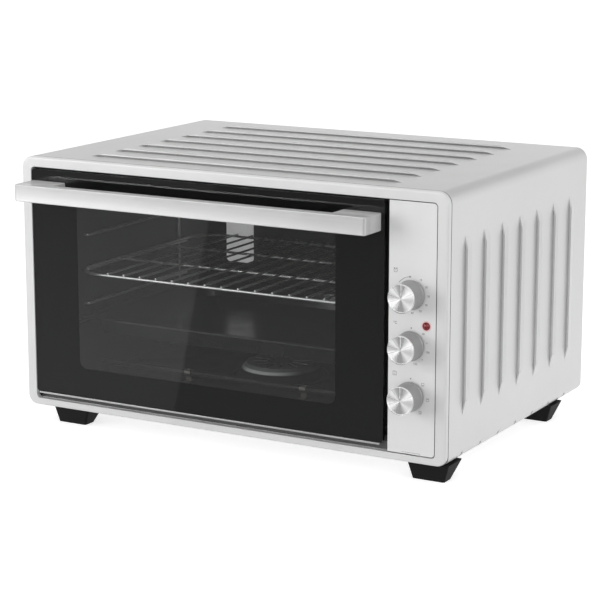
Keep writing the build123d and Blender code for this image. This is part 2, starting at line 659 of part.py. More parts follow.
def make_cavity_floor():
    """Floor pan between the cavity's sides, with an opening under the dome."""
    y = (CAVITY_FRONT + SHEET, CAVITY_BACK)
    floor = span_box(CAVITY_X, y, (CAVITY_Z[0] - SHEET, CAVITY_Z[0]))
    return floor - round_bar(DOME_TOP_R, DOME_X, DOME_Y, (CAVITY_Z[0] - 2 * SHEET, CAVITY_Z[0] + SHEET))


def make_cavity_back():
    """Back wall of the cavity, closing the shell."""
    x = (CAVITY_X[0] - SHEET, CAVITY_X[1] + SHEET)
    z = (CAVITY_Z[0] - SHEET, CAVITY_Z[1] + SHEET)
    return span_box(x, (CAVITY_BACK, CAVITY_BACK + SHEET), z)


def make_partition():
    """Heat shield between the cavity and the control bay, with slots for cooling air."""
    y = (CAVITY_FRONT + SHEET, REAR_FACE - SHEET)
    wall = span_box((PARTITION_X, PARTITION_X + SHEET), y, (BASE_TOP, CASE_H - SHEET))
    slots = []
    for i in range(BASE_SLOTS):
        y = CAVITY_BACK - SHIELD_SLOT_IN - i * SHIELD_SLOT_PITCH
        place = Pos(PARTITION_X, y, CASE_H - SHIELD_SLOT_DOWN)
        slots.append(place * Box(4 * SHEET, *SHIELD_SLOT))
    return wall - slots


def dome_profile(radius, top_r, edge, foot, top):
    """Half section of the dome: (radius, height) points from the axis round and back."""
    return ((0, foot), (radius, foot), (top_r + edge, top - edge), (top_r, top), (0, top))


def make_floor_dome():
    """Round raised cover in the floor with a ring of radial slots in its flat top."""
    wall = DOME_SHEET
    profile = dome_profile(DOME_R, DOME_TOP_R, DOME_EDGE, 0, DOME_H)
    dome = revolve(Plane.XZ * make_face(Polyline(*profile, close=True)))
    dome += Pos(0, 0, wall / 2) * Cylinder(DOME_R + DOME_FLANGE, wall)
    inner = dome_profile(DOME_R - wall, DOME_TOP_R - wall, DOME_EDGE, -wall, DOME_H - wall)
    dome -= revolve(Plane.XZ * make_face(Polyline(*inner, close=True)))
    slots = []
    for i in range(DOME_SLOTS):
        turn = Rot(0, 0, i * 360 / DOME_SLOTS)
        slots.append(turn * Pos(DOME_SLOT_R, 0, DOME_H) * Box(DOME_SLOT_L, DOME_SLOT_W, DOME_H))
    return Pos(DOME_X, DOME_Y, CAVITY_Z[0]) * (dome - slots)


def make_runner(side):
    """Wire ladder on one cavity wall: a rail at each level, a post and hooked ends. side is -1 or 1."""
    wall = CAVITY_X[0] if side < 0 else CAVITY_X[1]
    rail_x = RAIL_X[0] if side < 0 else RAIL_X[1]
    end_x = wall - side * RAIL_END_GAP
    front, rear = RAIL_Y
    parts = []
    for level in RAIL_LEVELS:
        z = RAIL_Z + level * RAIL_PITCH
        points = (
            (end_x, front, z),
            (rail_x, front, z),
            (rail_x, rear + RAIL_HOOK, z),
            (end_x, rear + RAIL_HOOK, z),
        )
        parts.append(bent_wire(points, WIRE_R, RAIL_BEND))
    top = RAIL_Z + RAIL_LEVELS[-1] * RAIL_PITCH + RAIL_POST_TOP
    low = RAIL_Z + RAIL_LEVELS[0] * RAIL_PITCH - RAIL_POST_TOP
    post_x = rail_x + side * (2 * WIRE_R - WELD)
    return parts[0] + parts[1:] + round_bar(WIRE_R, post_x, rear, (low, top))


def rounded_loop(x, y, z, radius, corner):
    """Closed wire loop in a level plane, its middle line on the given limits."""
    outer = RectangleRounded(x[1] - x[0], y[1] - y[0], corner)
    path = outer.wire()
    path = Pos((x[0] + x[1]) / 2, (y[0] + y[1]) / 2, z) * path
    section = Plane(origin=path @ 0, z_dir=path % 0) * Circle(radius)
    return sweep(section, path=path)


def make_wire_rack():
    """Shelf: a rounded rim rod that lies on the middle rails, two cross rods and the bars on top of them."""
    rack = rounded_loop(RACK_X, RACK_Y, ROD_Z, WIRE_R, RACK_CORNER_R)
    for step in RACK_CROSS:
        rack += round_bar(WIRE_R, RACK_X, RACK_Y[0] + step, ROD_Z)
    bar_z = ROD_Z + WIRE_R + RACK_BAR_R - WELD
    for shift in spread(RACK_BARS, RACK_BAR_PITCH):
        rack += round_bar(RACK_BAR_R, CAVITY_MID + shift, (RACK_Y[0] - WIRE_R, RACK_Y[1] + WIRE_R), bar_z)
    return rack


def make_baking_tray():
    """Deep-drawn tray: sloping walls, a flat rim that rests on the ledges and a turned-up lip."""
    x = (CAVITY_X[0] + TRAY_SIDE_GAP, CAVITY_X[1] - TRAY_SIDE_GAP)
    mid = ((x[0] + x[1]) / 2, (TRAY_Y[0] + TRAY_Y[1]) / 2)
    width = x[1] - x[0]
    depth = TRAY_Y[1] - TRAY_Y[0]
    rim_z = LEDGE_Z + REST_GAP
    floor_z = rim_z - TRAY_DEPTH

    def ring(inset, z):
        shape = RectangleRounded(width - 2 * inset, depth - 2 * inset, TRAY_CORNER_R - inset)
        return Pos(mid[0], mid[1], z) * shape

    rim = extrude(ring(0, rim_z), TRAY_WALL)
    lip = extrude(ring(0, rim_z), TRAY_LIP) - extrude(ring(TRAY_WALL, rim_z - 1), TRAY_LIP + 2)
    inset = LEDGE_W - TRAY_SIDE_GAP + TRAY_RIM * 0.2
    outside = loft([ring(inset + TRAY_TAPER, floor_z), ring(inset, rim_z)], ruled=True)
    low = ring(inset + TRAY_TAPER + TRAY_WALL, floor_z + TRAY_WALL)
    inside = loft([low, ring(inset + TRAY_WALL, rim_z + TRAY_WALL + 1)], ruled=True)
    return rim + lip + outside - inside


def heater_places():
    """Middle line of each heater: (y, z)."""
    return [(y, z) for z in (HEATER_TOP_Z, HEATER_LOW_Z) for y in HEATER_Y]


def make_heaters(z):
    """Pair of tubular heaters across the cavity, each with a terminal pin at both ends."""
    ends = (CAVITY_X[0] - SHEET - HEATER_PAST_WALL, CAVITY_X[1] + SHEET + HEATER_PAST_WALL)
    heaters = []
    for y in HEATER_Y:
        tube = round_bar(HEATER_R, ends, y, z)
        pin = round_bar(HEATER_PIN_R, (ends[0] - HEATER_PIN, ends[1] + HEATER_PIN), y, z)
        heaters.append(tube + pin)
    return Compound(children=heaters)


def make_heater_clips():
    """Bent clips that stand on the floor and hold the lower heaters."""
    clips = []
    floor = CAVITY_Z[0]
    seat = HEATER_R + REST_GAP
    for y in HEATER_Y:
        for x in CLIP_X:
            ring = Pos(y, HEATER_LOW_Z) * (Circle(seat + CLIP_T) - Circle(seat))
            ring -= Pos(y, HEATER_LOW_Z + seat + CLIP_T) * Rectangle(seat * 1.5, seat * 1.2)
            leg = front_rect((y - CLIP_T / 2, y + CLIP_T / 2), (floor, HEATER_LOW_Z - seat))
            pad = front_rect((y - seat * 2, y + seat * 2), (floor, floor + CLIP_T))
            clips.append(side_slab(ring + leg + pad, x - CLIP_W / 2, x + CLIP_W / 2))
    return Compound(children=clips)


def make_thermostat_bulb():
    """Sensing bulb under the ceiling with the two clips that hold it."""
    x = (CAVITY_X[1] - BULB_LENGTH - BULB_INSET, CAVITY_X[1] - BULB_INSET)
    z = CAVITY_Z[1] - BULB_R - BULB_DROP
    bulb = round_bar(BULB_R, x, DOME_Y, z)
    half = BULB_CLIP_W / 2
    around = BULB_R + CLIP_T
    for middle in (x[0] + BULB_CLIP_INSET, x[1] - BULB_CLIP_INSET):
        clip_y = (DOME_Y - around, DOME_Y + around)
        bulb += span_box((middle - half, middle + half), clip_y, (z - around, CAVITY_Z[1]))
    return bulb


def make_lamp_cover():
    """Rectangular lamp glass on the back wall, hollow behind."""
    y = (CAVITY_BACK - LAMP_T, CAVITY_BACK)
    cover = front_slab(front_rect(LAMP_X, LAMP_Z, LAMP_R), *y)
    cover = fillet(cover.faces().sort_by(Axis.Y)[0].edges(), LAMP_WALL)
    inner_x = (LAMP_X[0] + LAMP_WALL, LAMP_X[1] - LAMP_WALL)
    inner_z = (LAMP_Z[0] + LAMP_WALL, LAMP_Z[1] - LAMP_WALL)
    return cover - front_slab(front_rect(inner_x, inner_z, LAMP_R - LAMP_WALL), y[0] + LAMP_WALL, y[1] + 1)


def make_lower_sill():
    """Trough under the door, round about the hinge line, so that no gap opens while the door swings."""
    lip = front_rect((SEAM, HINGE_Y), (FRAME_LOW, FRAME_LOW + SILL_T))
    ring = Pos(HINGE_Y, HINGE_Z) * (Circle(SILL_R + SILL_T) - Circle(SILL_R))
    far = SILL_R * 3
    below = make_face(
        Polyline(
            (HINGE_Y, HINGE_Z),
            (HINGE_Y, HINGE_Z - far),
            (HINGE_Y + far, HINGE_Z - far),
            (HINGE_Y + far * cos(radians(SILL_END)), HINGE_Z + far * sin(radians(SILL_END))),
            close=True,
        )
    )
    end_y = HINGE_Y + SILL_R * cos(radians(SILL_END))
    end_z = HINGE_Z + SILL_R * sin(radians(SILL_END))
    leg = front_rect((end_y, CAVITY_FRONT), (end_z - SILL_T, end_z))
    section = lip + (ring & below) + leg
    return side_slab(section, -OPENING_X, PANEL_X[0] - EYE_GAP)


def bracket_spans():
    """X limits of the hinge bracket at the left and at the right."""
    left = (INNER_X[0] - EYE_GAP - BRACKET_T, INNER_X[0] - EYE_GAP)
    right = (INNER_X[1] + EYE_GAP, INNER_X[1] + EYE_GAP + BRACKET_T)
    return left, right


def make_hinge_bracket(span):
    """Eye on an arm that reaches forward from the chassis, with a foot flat against it."""
    arm = front_rect((HINGE_Y, CAVITY_FRONT), (HINGE_Z - BRACKET_ARM / 2, HINGE_Z + BRACKET_ARM / 2))
    section = arm + Pos(HINGE_Y, HINGE_Z) * Circle(EYE_R)
    bracket = side_slab(section, *span)
    outward = span[0] < CAVITY_MID
    foot_x = (span[0] - BRACKET_T, span[1]) if outward else (span[0], span[1] + BRACKET_T)
    bracket += span_box(foot_x, (CAVITY_FRONT - SHEET, CAVITY_FRONT), BRACKET_FOOT_Z)
    return bracket - round_bar(PIN_R + PIN_GAP, (span[0] - 5, span[1] + 5), HINGE_Y, HINGE_Z)


def make_hinge_pins():
    """Headed pins fixed in the door's ears and turning in the brackets."""
    left, right = bracket_spans()
    pins = []
    inner = INNER_X[0] + INNER_T
    pin = round_bar(PIN_R, (left[0] - PIN_PAST, inner + PIN_PAST), HINGE_Y, HINGE_Z)
    pins.append(pin + round_bar(PIN_HEAD_R, (inner, inner + PIN_HEAD_T), HINGE_Y, HINGE_Z))
    inner = INNER_X[1] - INNER_T
    pin = round_bar(PIN_R, (inner - PIN_PAST, right[1] + PIN_PAST), HINGE_Y, HINGE_Z)
    pins.append(pin + round_bar(PIN_HEAD_R, (inner - PIN_HEAD_T, inner), HINGE_Y, HINGE_Z))
    return Compound(children=pins)


def stay_centres():
    """X of the left and right door stays, between the cavity and the casing or the heat shield."""
    return CAVITY_X[0] - STAY_OUT, CAVITY_X[1] + STAY_OUT


def make_stay_arm(x):
    """Curved arm about the hinge line, fixed behind the door's face, with a hook at its tail as stop."""
    centre = Pos(HINGE_Y, HINGE_Z)
    ring = centre * (Circle(STAY_R + STAY_W / 2) - Circle(STAY_R - STAY_W / 2))
    hook = centre * (Circle(STAY_R + STAY_W / 2 + STAY_HOOK) - Circle(STAY_R))
    far = STAY_R * 2

    def wedge(low, high):
        points = [(0, 0)]
        steps = 4
        for i in range(steps + 1):
            angle = radians(low + (high - low) * i / steps)
            points.append((far * cos(angle), far * sin(angle)))
        return centre * make_face(Polyline(*points, close=True))

    arm = (ring & wedge(STAY_TAIL, STAY_HEAD)) + (hook & wedge(STAY_TAIL, STAY_TAIL + 4))
    root_z = HINGE_Z + STAY_R
    seat = BORDER_REAR + INNER_T
    root = front_rect((seat, HINGE_Y + STAY_W), (root_z - STAY_W / 2, root_z + STAY_W / 2 - 1))
    foot = Pos(x, seat + INNER_T / 2, root_z) * Box(STAY_FOOT_W, INNER_T, STAY_FOOT_H)
    return side_slab(arm + root, x - STAY_T / 2, x + STAY_T / 2) + foot


def handle_screw_places():
    """Screws through the glass into the handle's blocks: (x, z)."""
    z = (HANDLE_Z[0] + HANDLE_Z[1]) / 2
    places = []
    for block in (HANDLE_LEFT, HANDLE_RIGHT):
        middle = (block[0] + block[1]) / 2
        places += [(middle - HANDLE_SCREW_PITCH / 2, z), (middle + HANDLE_SCREW_PITCH / 2, z)]
    return places


def handle_holes(y0, y1):
    """Clearance holes for the handle's screws between two depths."""
    return [round_bar(HANDLE_SCREW_R + SCREW_GAP, x, (y0, y1), z) for x, z in handle_screw_places()]


def make_door_glass():
    """Toughened front pane with rounded corners and ground edges."""
    pane = front_slab(front_rect(GLASS_X, GLASS_Z, GLASS_R), GLASS_FRONT, GLASS_REAR)
    pane = chamfer(pane.faces().sort_by(Axis.Y)[0].edges(), 0.5)
    return pane - handle_holes(GLASS_FRONT - 1, GLASS_REAR + 1)


def make_glass_border():
    """Black enamel on the back of the pane, open at the window."""
    sheet = front_rect(GLASS_X, GLASS_Z, GLASS_R) - front_rect(WINDOW_X, WINDOW_Z, WINDOW_R)
    return front_slab(sheet, GLASS_REAR, BORDER_REAR) - handle_holes(GLASS_REAR - 1, BORDER_REAR + 1)


def make_door_frame():
    """Pressed pan behind the pane: a face with its window, side walls, a rear lip and the hinge ears."""
    face_y = (BORDER_REAR, BORDER_REAR + INNER_T)
    cut_x = (WINDOW_X[0] - INNER_WINDOW_GAP, WINDOW_X[1] + INNER_WINDOW_GAP)
    cut_z = (WINDOW_Z[0] - INNER_WINDOW_GAP, WINDOW_Z[1] + INNER_WINDOW_GAP * 0.2)
    window = front_rect(cut_x, cut_z, WINDOW_R + INNER_WINDOW_GAP)
    outline = front_rect(INNER_X, INNER_Z)
    inside = front_rect(
        (INNER_X[0] + INNER_T, INNER_X[1] - INNER_T),
        (INNER_Z[0] + INNER_T, INNER_Z[1] - INNER_T),
    )
    lip_hole = front_rect(
        (INNER_X[0] + INNER_LIP, INNER_X[1] - INNER_LIP),
        (INNER_Z[0] + INNER_LIP, INNER_Z[1] - INNER_LIP * 0.5),
    )
    frame = front_slab(outline - window, *face_y)
    frame += front_slab(outline - inside, face_y[0], INNER_REAR)
    frame += front_slab(outline - lip_hole, INNER_REAR - INNER_T, INNER_REAR)
    ear = Pos(HINGE_Y, HINGE_Z) * Circle(EYE_R)
    ear += front_rect((BORDER_REAR, INNER_REAR), (HINGE_Z + EYE_R * 0.5, INNER_Z[0] + 6))
    ear += front_rect((HINGE_Y - EYE_R, HINGE_Y + EYE_R), (HINGE_Z, INNER_Z[0] + 6))
    frame += side_slab(ear, INNER_X[0], INNER_X[0] + INNER_T)
    frame += side_slab(ear, INNER_X[1] - INNER_T, INNER_X[1])
    frame -= round_bar(PIN_R + PIN_GAP, (GLASS_X[0], GLASS_X[1]), HINGE_Y, HINGE_Z)
    slots = []
    for x in stay_centres():
        half = STAY_T / 2 + STAY_SLOT_GAP
        centre = HINGE_Z + STAY_R
        depth = (INNER_REAR - 2 * INNER_T, INNER_REAR + INNER_T)
        slots.append(span_box((x - half, x + half), depth, (centre - STAY_W, centre + STAY_W)))
    return frame - handle_holes(BORDER_REAR - 1, BORDER_REAR + INNER_T + 1) - slots


def make_door_trim():
    """Bright bead under the pane's lower edge."""
    y = (GLASS_FRONT - TRIM_PROUD, TRIM_REAR)
    z = (GLASS_Z[0] - TRIM_H, GLASS_Z[0])
    bead = span_box((GLASS_X[0] + GLASS_R, GLASS_X[1] - GLASS_R), y, z)
    return fillet(bead.faces().sort_by(Axis.Y)[0].edges().filter_by(Axis.X), TRIM_PROUD)


def make_handle_bar():
    """Flat bar with rounded front corners and softly broken long edges."""
    plan = Rectangle(HANDLE_X[1] - HANDLE_X[0], HANDLE_T)
    plan = Pos((HANDLE_X[0] + HANDLE_X[1]) / 2, HANDLE_FRONT + HANDLE_T / 2) * plan
    plan = fillet(plan.vertices().sort_by(Axis.Y)[:2], HANDLE_R)
    bar = Pos(0, 0, HANDLE_Z[0]) * extrude(plan, HANDLE_Z[1] - HANDLE_Z[0])
    long_edges = bar.edges().filter_by(Axis.X).sort_by(Axis.Y)[:2]
    return chamfer(long_edges, HANDLE_EDGE)


def make_handle_mount(span):
    """Block that holds the bar off the glass, with blind holes for its screws."""
    block = span_box(span, (HANDLE_FRONT + HANDLE_T, GLASS_FRONT), HANDLE_Z)
    block = chamfer(block.edges().filter_by(Axis.Y), HANDLE_EDGE)
    return block - handle_holes(GLASS_FRONT - HANDLE_SCREW_L - 2, GLASS_FRONT + 1)


def make_handle_screws():
    """Screws from inside the door, through its face and the pane, into the blocks."""
    seat = BORDER_REAR + INNER_T
    screws = []
    for x, z in handle_screw_places():
        head = round_bar(HANDLE_HEAD_R, x, (seat, seat + HANDLE_HEAD_T), z)
        screws.append(head + round_bar(HANDLE_SCREW_R, x, (GLASS_FRONT - HANDLE_SCREW_L, seat), z))
    return Compound(children=screws)


def make_control_panel():
    """Shallow pressed tray, square towards the door, rounded at the right, with holes for dials and lamp."""
    outline = front_rect(PANEL_X, PANEL_Z)
    outline = fillet(outline.vertices().sort_by(Axis.X)[2:], PANEL_R)
    inner = offset(outline, amount=-PANEL_T)
    panel = front_slab(outline, PANEL_FRONT, CAVITY_FRONT) - front_slab(inner, SWITCH_SEAT, CAVITY_FRONT + 1)
    middle = (PANEL_X[0] + PANEL_X[1]) / 2
    lip_x = (middle - PANEL_LIP_W / 2, middle + PANEL_LIP_W / 2)
    lip_z = (PANEL_Z[0] + PANEL_T, PANEL_Z[0] + PANEL_T + PANEL_LIP_H)
    panel += span_box(lip_x, (PANEL_FRONT - PANEL_LIP_H / 2, PANEL_FRONT), lip_z)
    holes = [round_bar(NOSE_R + NOSE_GAP, DIAL_X, (PANEL_FRONT - 1, 0), z) for z in DIAL_Z]
    holes.append(round_bar(LENS_R + SCREW_GAP, LENS_X, (PANEL_FRONT - 1, 0), LENS_Z))
    return panel - holes


def make_knob(z):
    """Hollow knob with a wider foot and an inner hub whose bore has the shaft's flat."""
    profile = (
        (0, KNOB_DECK),
        (KNOB_R, KNOB_DECK),
        (KNOB_R, KNOB_REAR - KNOB_BASE_H),
        (KNOB_BASE_R, KNOB_REAR - KNOB_BASE_H + 1),
        (KNOB_BASE_R, KNOB_REAR),
        (KNOB_R - KNOB_WALL, KNOB_REAR),
        (KNOB_R - KNOB_WALL, KNOB_DECK + KNOB_WALL),
        (HUB_R, KNOB_DECK + KNOB_WALL),
        (HUB_R, KNOB_REAR),
        (0, KNOB_REAR),
    )
    bore = front_slab(shaft_section(SHAFT_GAP), KNOB_DECK + KNOB_WALL, KNOB_REAR + 1)
    return turned(profile, DIAL_X, z) - Pos(DIAL_X, 0, z) * bore


def make_knob_cap(z):
    """Spun metal face: a raised rim, a shallow dish and an inlaid pointer at the top."""
    profile = (
        (0, KNOB_DECK),
        (CAP_R, KNOB_DECK),
        (CAP_R, KNOB_FRONT + CAP_RIM / 2),
        (CAP_R - CAP_RIM / 2, KNOB_FRONT),
        (CAP_R - CAP_RIM, KNOB_FRONT),
        (CAP_R - CAP_RIM - CAP_DISH, KNOB_FRONT + CAP_DISH),
        (0, KNOB_FRONT + CAP_DISH),
    )
    cap = turned(profile, DIAL_X, z)
    top = z + CAP_R - CAP_RIM - CAP_DISH * 2
    x = (DIAL_X - POINTER_W / 2, DIAL_X + POINTER_W / 2)
    return cap - span_box(x, (KNOB_FRONT - 1, KNOB_FRONT + 2 * CAP_DISH), (top - POINTER_L, top))


def shaft_section(grow=0.0):
    """Round section with one flat, larger all round by the given clearance."""
    keep = Pos(0, (SHAFT_FLAT - SHAFT_R) / 2) * Rectangle(4 * SHAFT_R, SHAFT_FLAT + SHAFT_R + 2 * grow)
    return Circle(SHAFT_R + grow) & keep


def make_shaft(z):
    """Dial shaft: flatted in the knob and round in its switch."""
    shaft = front_slab(shaft_section(), KNOB_DECK + KNOB_WALL + SHAFT_GAP, KNOB_REAR)
    shaft += front_slab(Circle(SHAFT_R), KNOB_REAR, SWITCH_SEAT + SHAFT_DEPTH)
    return Pos(DIAL_X, 0, z) * shaft


def make_switch_unit(z, size):
    """Switch behind the panel: mounting plate, body, terminals and a nose that guides the shaft."""
    width, height, depth = size
    rear = SWITCH_SEAT + depth
    unit = Pos(DIAL_X, SWITCH_SEAT + UNIT_PLATE / 2, z) * Box(width, UNIT_PLATE, height)
    body = Pos(DIAL_X, z) * RectangleRounded(width - 2 * UNIT_EDGE, height - 2 * UNIT_EDGE, UNIT_EDGE)
    unit += front_slab(body, SWITCH_SEAT + UNIT_PLATE, rear)
    unit += round_bar(NOSE_R, DIAL_X, (PANEL_FRONT - NOSE_PROUD, SWITCH_SEAT), z)
    for shift in spread(3, UNIT_TAB_PITCH):
        unit += Pos(DIAL_X + shift, rear + UNIT_TAB[2] / 2, z) * Box(UNIT_TAB[0], UNIT_TAB[2], UNIT_TAB[1])
    return unit - round_bar(SHAFT_R + SHAFT_GAP, DIAL_X, (PANEL_FRONT - 1, SWITCH_SEAT + SHAFT_DEPTH + 1), z)


def make_pilot_lens():
    """Red lens: a low dome in front of the panel on a short stem."""
    stem = round_bar(LENS_R, LENS_X, (PANEL_FRONT, SWITCH_SEAT + LENS_STEM), LENS_Z)
    collar = round_bar(LENS_COLLAR_R, LENS_X, (PANEL_FRONT - LENS_COLLAR_T, PANEL_FRONT), LENS_Z)
    ball_r = (LENS_R**2 + LENS_PROUD**2) / (2 * LENS_PROUD)
    face = PANEL_FRONT - LENS_COLLAR_T
    ball = Pos(LENS_X, face - LENS_PROUD + ball_r, LENS_Z) * Sphere(ball_r)
    return stem + collar + (ball & round_bar(LENS_R, LENS_X, (face - LENS_PROUD, face), LENS_Z))


def make_pilot_holder():
    """Lamp holder clipped on the lens stem behind the panel."""
    holder = round_bar(HOLDER_R, LENS_X, (SWITCH_SEAT, SWITCH_SEAT + HOLDER_L), LENS_Z)
    socket = (SWITCH_SEAT - 1, SWITCH_SEAT + LENS_STEM + SCREW_GAP)
    return holder - round_bar(LENS_R + SCREW_GAP, LENS_X, socket, LENS_Z)


def build_nodes():
    """Every node of the oven by name."""
    nodes = {
        "casing_wrap": make_casing_wrap(),
        "bottom_panel": make_bottom_panel(),
        "rear_panel": make_rear_panel(),
        "rear_screws": make_rear_screws(),
        "cord_gland": make_cord_gland(),
        "terminal_block": make_terminal_block(),
        "front_frame": make_front_frame(),
        "foot_screws": make_foot_screws(),
        "cavity_front": make_cavity_front(),
        "cavity_shell": make_cavity_shell(),
        "cavity_floor": make_cavity_floor(),
        "cavity_back": make_cavity_back(),
        "partition": make_partition(),
        "floor_dome": make_floor_dome(),
        "runner_left": make_runner(-1),
        "runner_right": make_runner(1),
        "upper_heaters": make_heaters(HEATER_TOP_Z),
        "lower_heaters": make_heaters(HEATER_LOW_Z),
        "heater_clips": make_heater_clips(),
        "thermostat_bulb": make_thermostat_bulb(),
        "lamp_cover": make_lamp_cover(),
        "lower_sill": make_lower_sill(),
        "hinge_bracket_left": make_hinge_bracket(bracket_spans()[0]),
        "hinge_bracket_right": make_hinge_bracket(bracket_spans()[1]),
        "control_panel": make_control_panel(),
        "pilot_lens": make_pilot_lens(),
        "pilot_holder": make_pilot_holder(),
        "door_glass": make_door_glass(),
        "glass_border": make_glass_border(),
        "door_frame": make_door_frame(),
        "door_trim": make_door_trim(),
        "handle_bar": make_handle_bar(),
        "handle_mount_left": make_handle_mount(HANDLE_LEFT),
        "handle_mount_right": make_handle_mount(HANDLE_RIGHT),
        "handle_screws": make_handle_screws(),
        "hinge_pins": make_hinge_pins(),
        "stay_arm_left": make_stay_arm(stay_centres()[0]),
        "stay_arm_right": make_stay_arm(stay_centres()[1]),
        "wire_rack": make_wire_rack(),
        "baking_tray": make_baking_tray(),
    }
    names = ("foot_front_left", "foot_front_right", "foot_rear_left", "foot_rear_right")
    for name, (x, y) in zip(names, foot_centres()):
        nodes[name] = make_foot(x, y)
    units = ("timer_unit", "thermostat_unit", "function_switch")
    for name, unit, z, size in zip(("timer", "thermostat", "function"), units, DIAL_Z, UNIT_SIZES):
        nodes[name + "_knob"] = make_knob(z)
        nodes[name + "_cap"] = make_knob_cap(z)
        nodes[name + "_shaft"] = make_shaft(z)
        nodes[unit] = make_switch_unit(z, size)
    return nodes


os.makedirs("parts", exist_ok=True)
for node_name, shape in build_nodes().items():
    export_step(ORIGIN * shape, "parts/" + node_name + ".step")
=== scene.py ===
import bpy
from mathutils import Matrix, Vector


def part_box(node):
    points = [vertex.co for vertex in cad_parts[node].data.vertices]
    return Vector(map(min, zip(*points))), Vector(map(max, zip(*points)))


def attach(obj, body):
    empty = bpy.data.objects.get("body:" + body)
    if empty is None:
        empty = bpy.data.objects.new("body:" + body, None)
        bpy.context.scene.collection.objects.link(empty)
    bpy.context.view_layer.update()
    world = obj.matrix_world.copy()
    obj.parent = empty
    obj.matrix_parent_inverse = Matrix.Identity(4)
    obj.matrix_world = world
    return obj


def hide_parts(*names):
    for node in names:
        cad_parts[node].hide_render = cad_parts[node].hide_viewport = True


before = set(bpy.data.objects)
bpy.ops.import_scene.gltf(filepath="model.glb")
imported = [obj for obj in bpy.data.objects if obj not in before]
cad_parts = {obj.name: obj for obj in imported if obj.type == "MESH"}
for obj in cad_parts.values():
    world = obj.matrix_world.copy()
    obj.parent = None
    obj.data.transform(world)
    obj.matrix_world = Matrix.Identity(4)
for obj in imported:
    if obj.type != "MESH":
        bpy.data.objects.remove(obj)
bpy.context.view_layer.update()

import logging
import math
import random
from dataclasses import dataclass, field
from enum import Enum
from typing import Optional, Sequence, Union

import bmesh
import bpy
from bpy.types import ID, Material, Mesh, Node, NodeSocket, NodeTree, Object
from mathutils import Matrix, Vector

# Looks of the mini oven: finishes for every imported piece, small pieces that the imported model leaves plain,
# the studio and the camera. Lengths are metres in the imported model's frame unless a name ends in _mm.

LOG = logging.getLogger("mini_oven")
MM = 0.001
SEED = 41
SEAM_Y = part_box("casing_wrap")[0].y
LOUVRE_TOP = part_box("casing_wrap")[1].z

Colour = tuple[float, float, float, float]
Point = tuple[float, float, float]
Spot = tuple[float, float]
Feed = Union[float, Colour, Point, NodeSocket]
Feeds = dict[Union[str, int], Feed]
Sockets = tuple[NodeSocket, ...]

WHITE = (1.0, 1.0, 1.0, 1.0)
SQUARE = ((-1, -1), (1, -1), (1, 1), (-1, 1))
BACK = Vector((0, 1, 0))
DOWN = Vector((0, 0, -1))


def grey(level: float) -> Colour:
    """Neutral colour from a display level.

    Args:
        level: brightness on the 0 to 255 display scale.

    Returns:
        The linear colour with full alpha.
    """
    share = level / 255
    value = share / 12.92 if share <= 0.04045 else ((share + 0.055) / 1.055) ** 2.4
    return (value, value, value, 1.0)


def tone(red: float, green: float, blue: float) -> Colour:
    """Linear colour from display levels, each 0 to 255."""
    return (grey(red)[0], grey(green)[0], grey(blue)[0], 1.0)


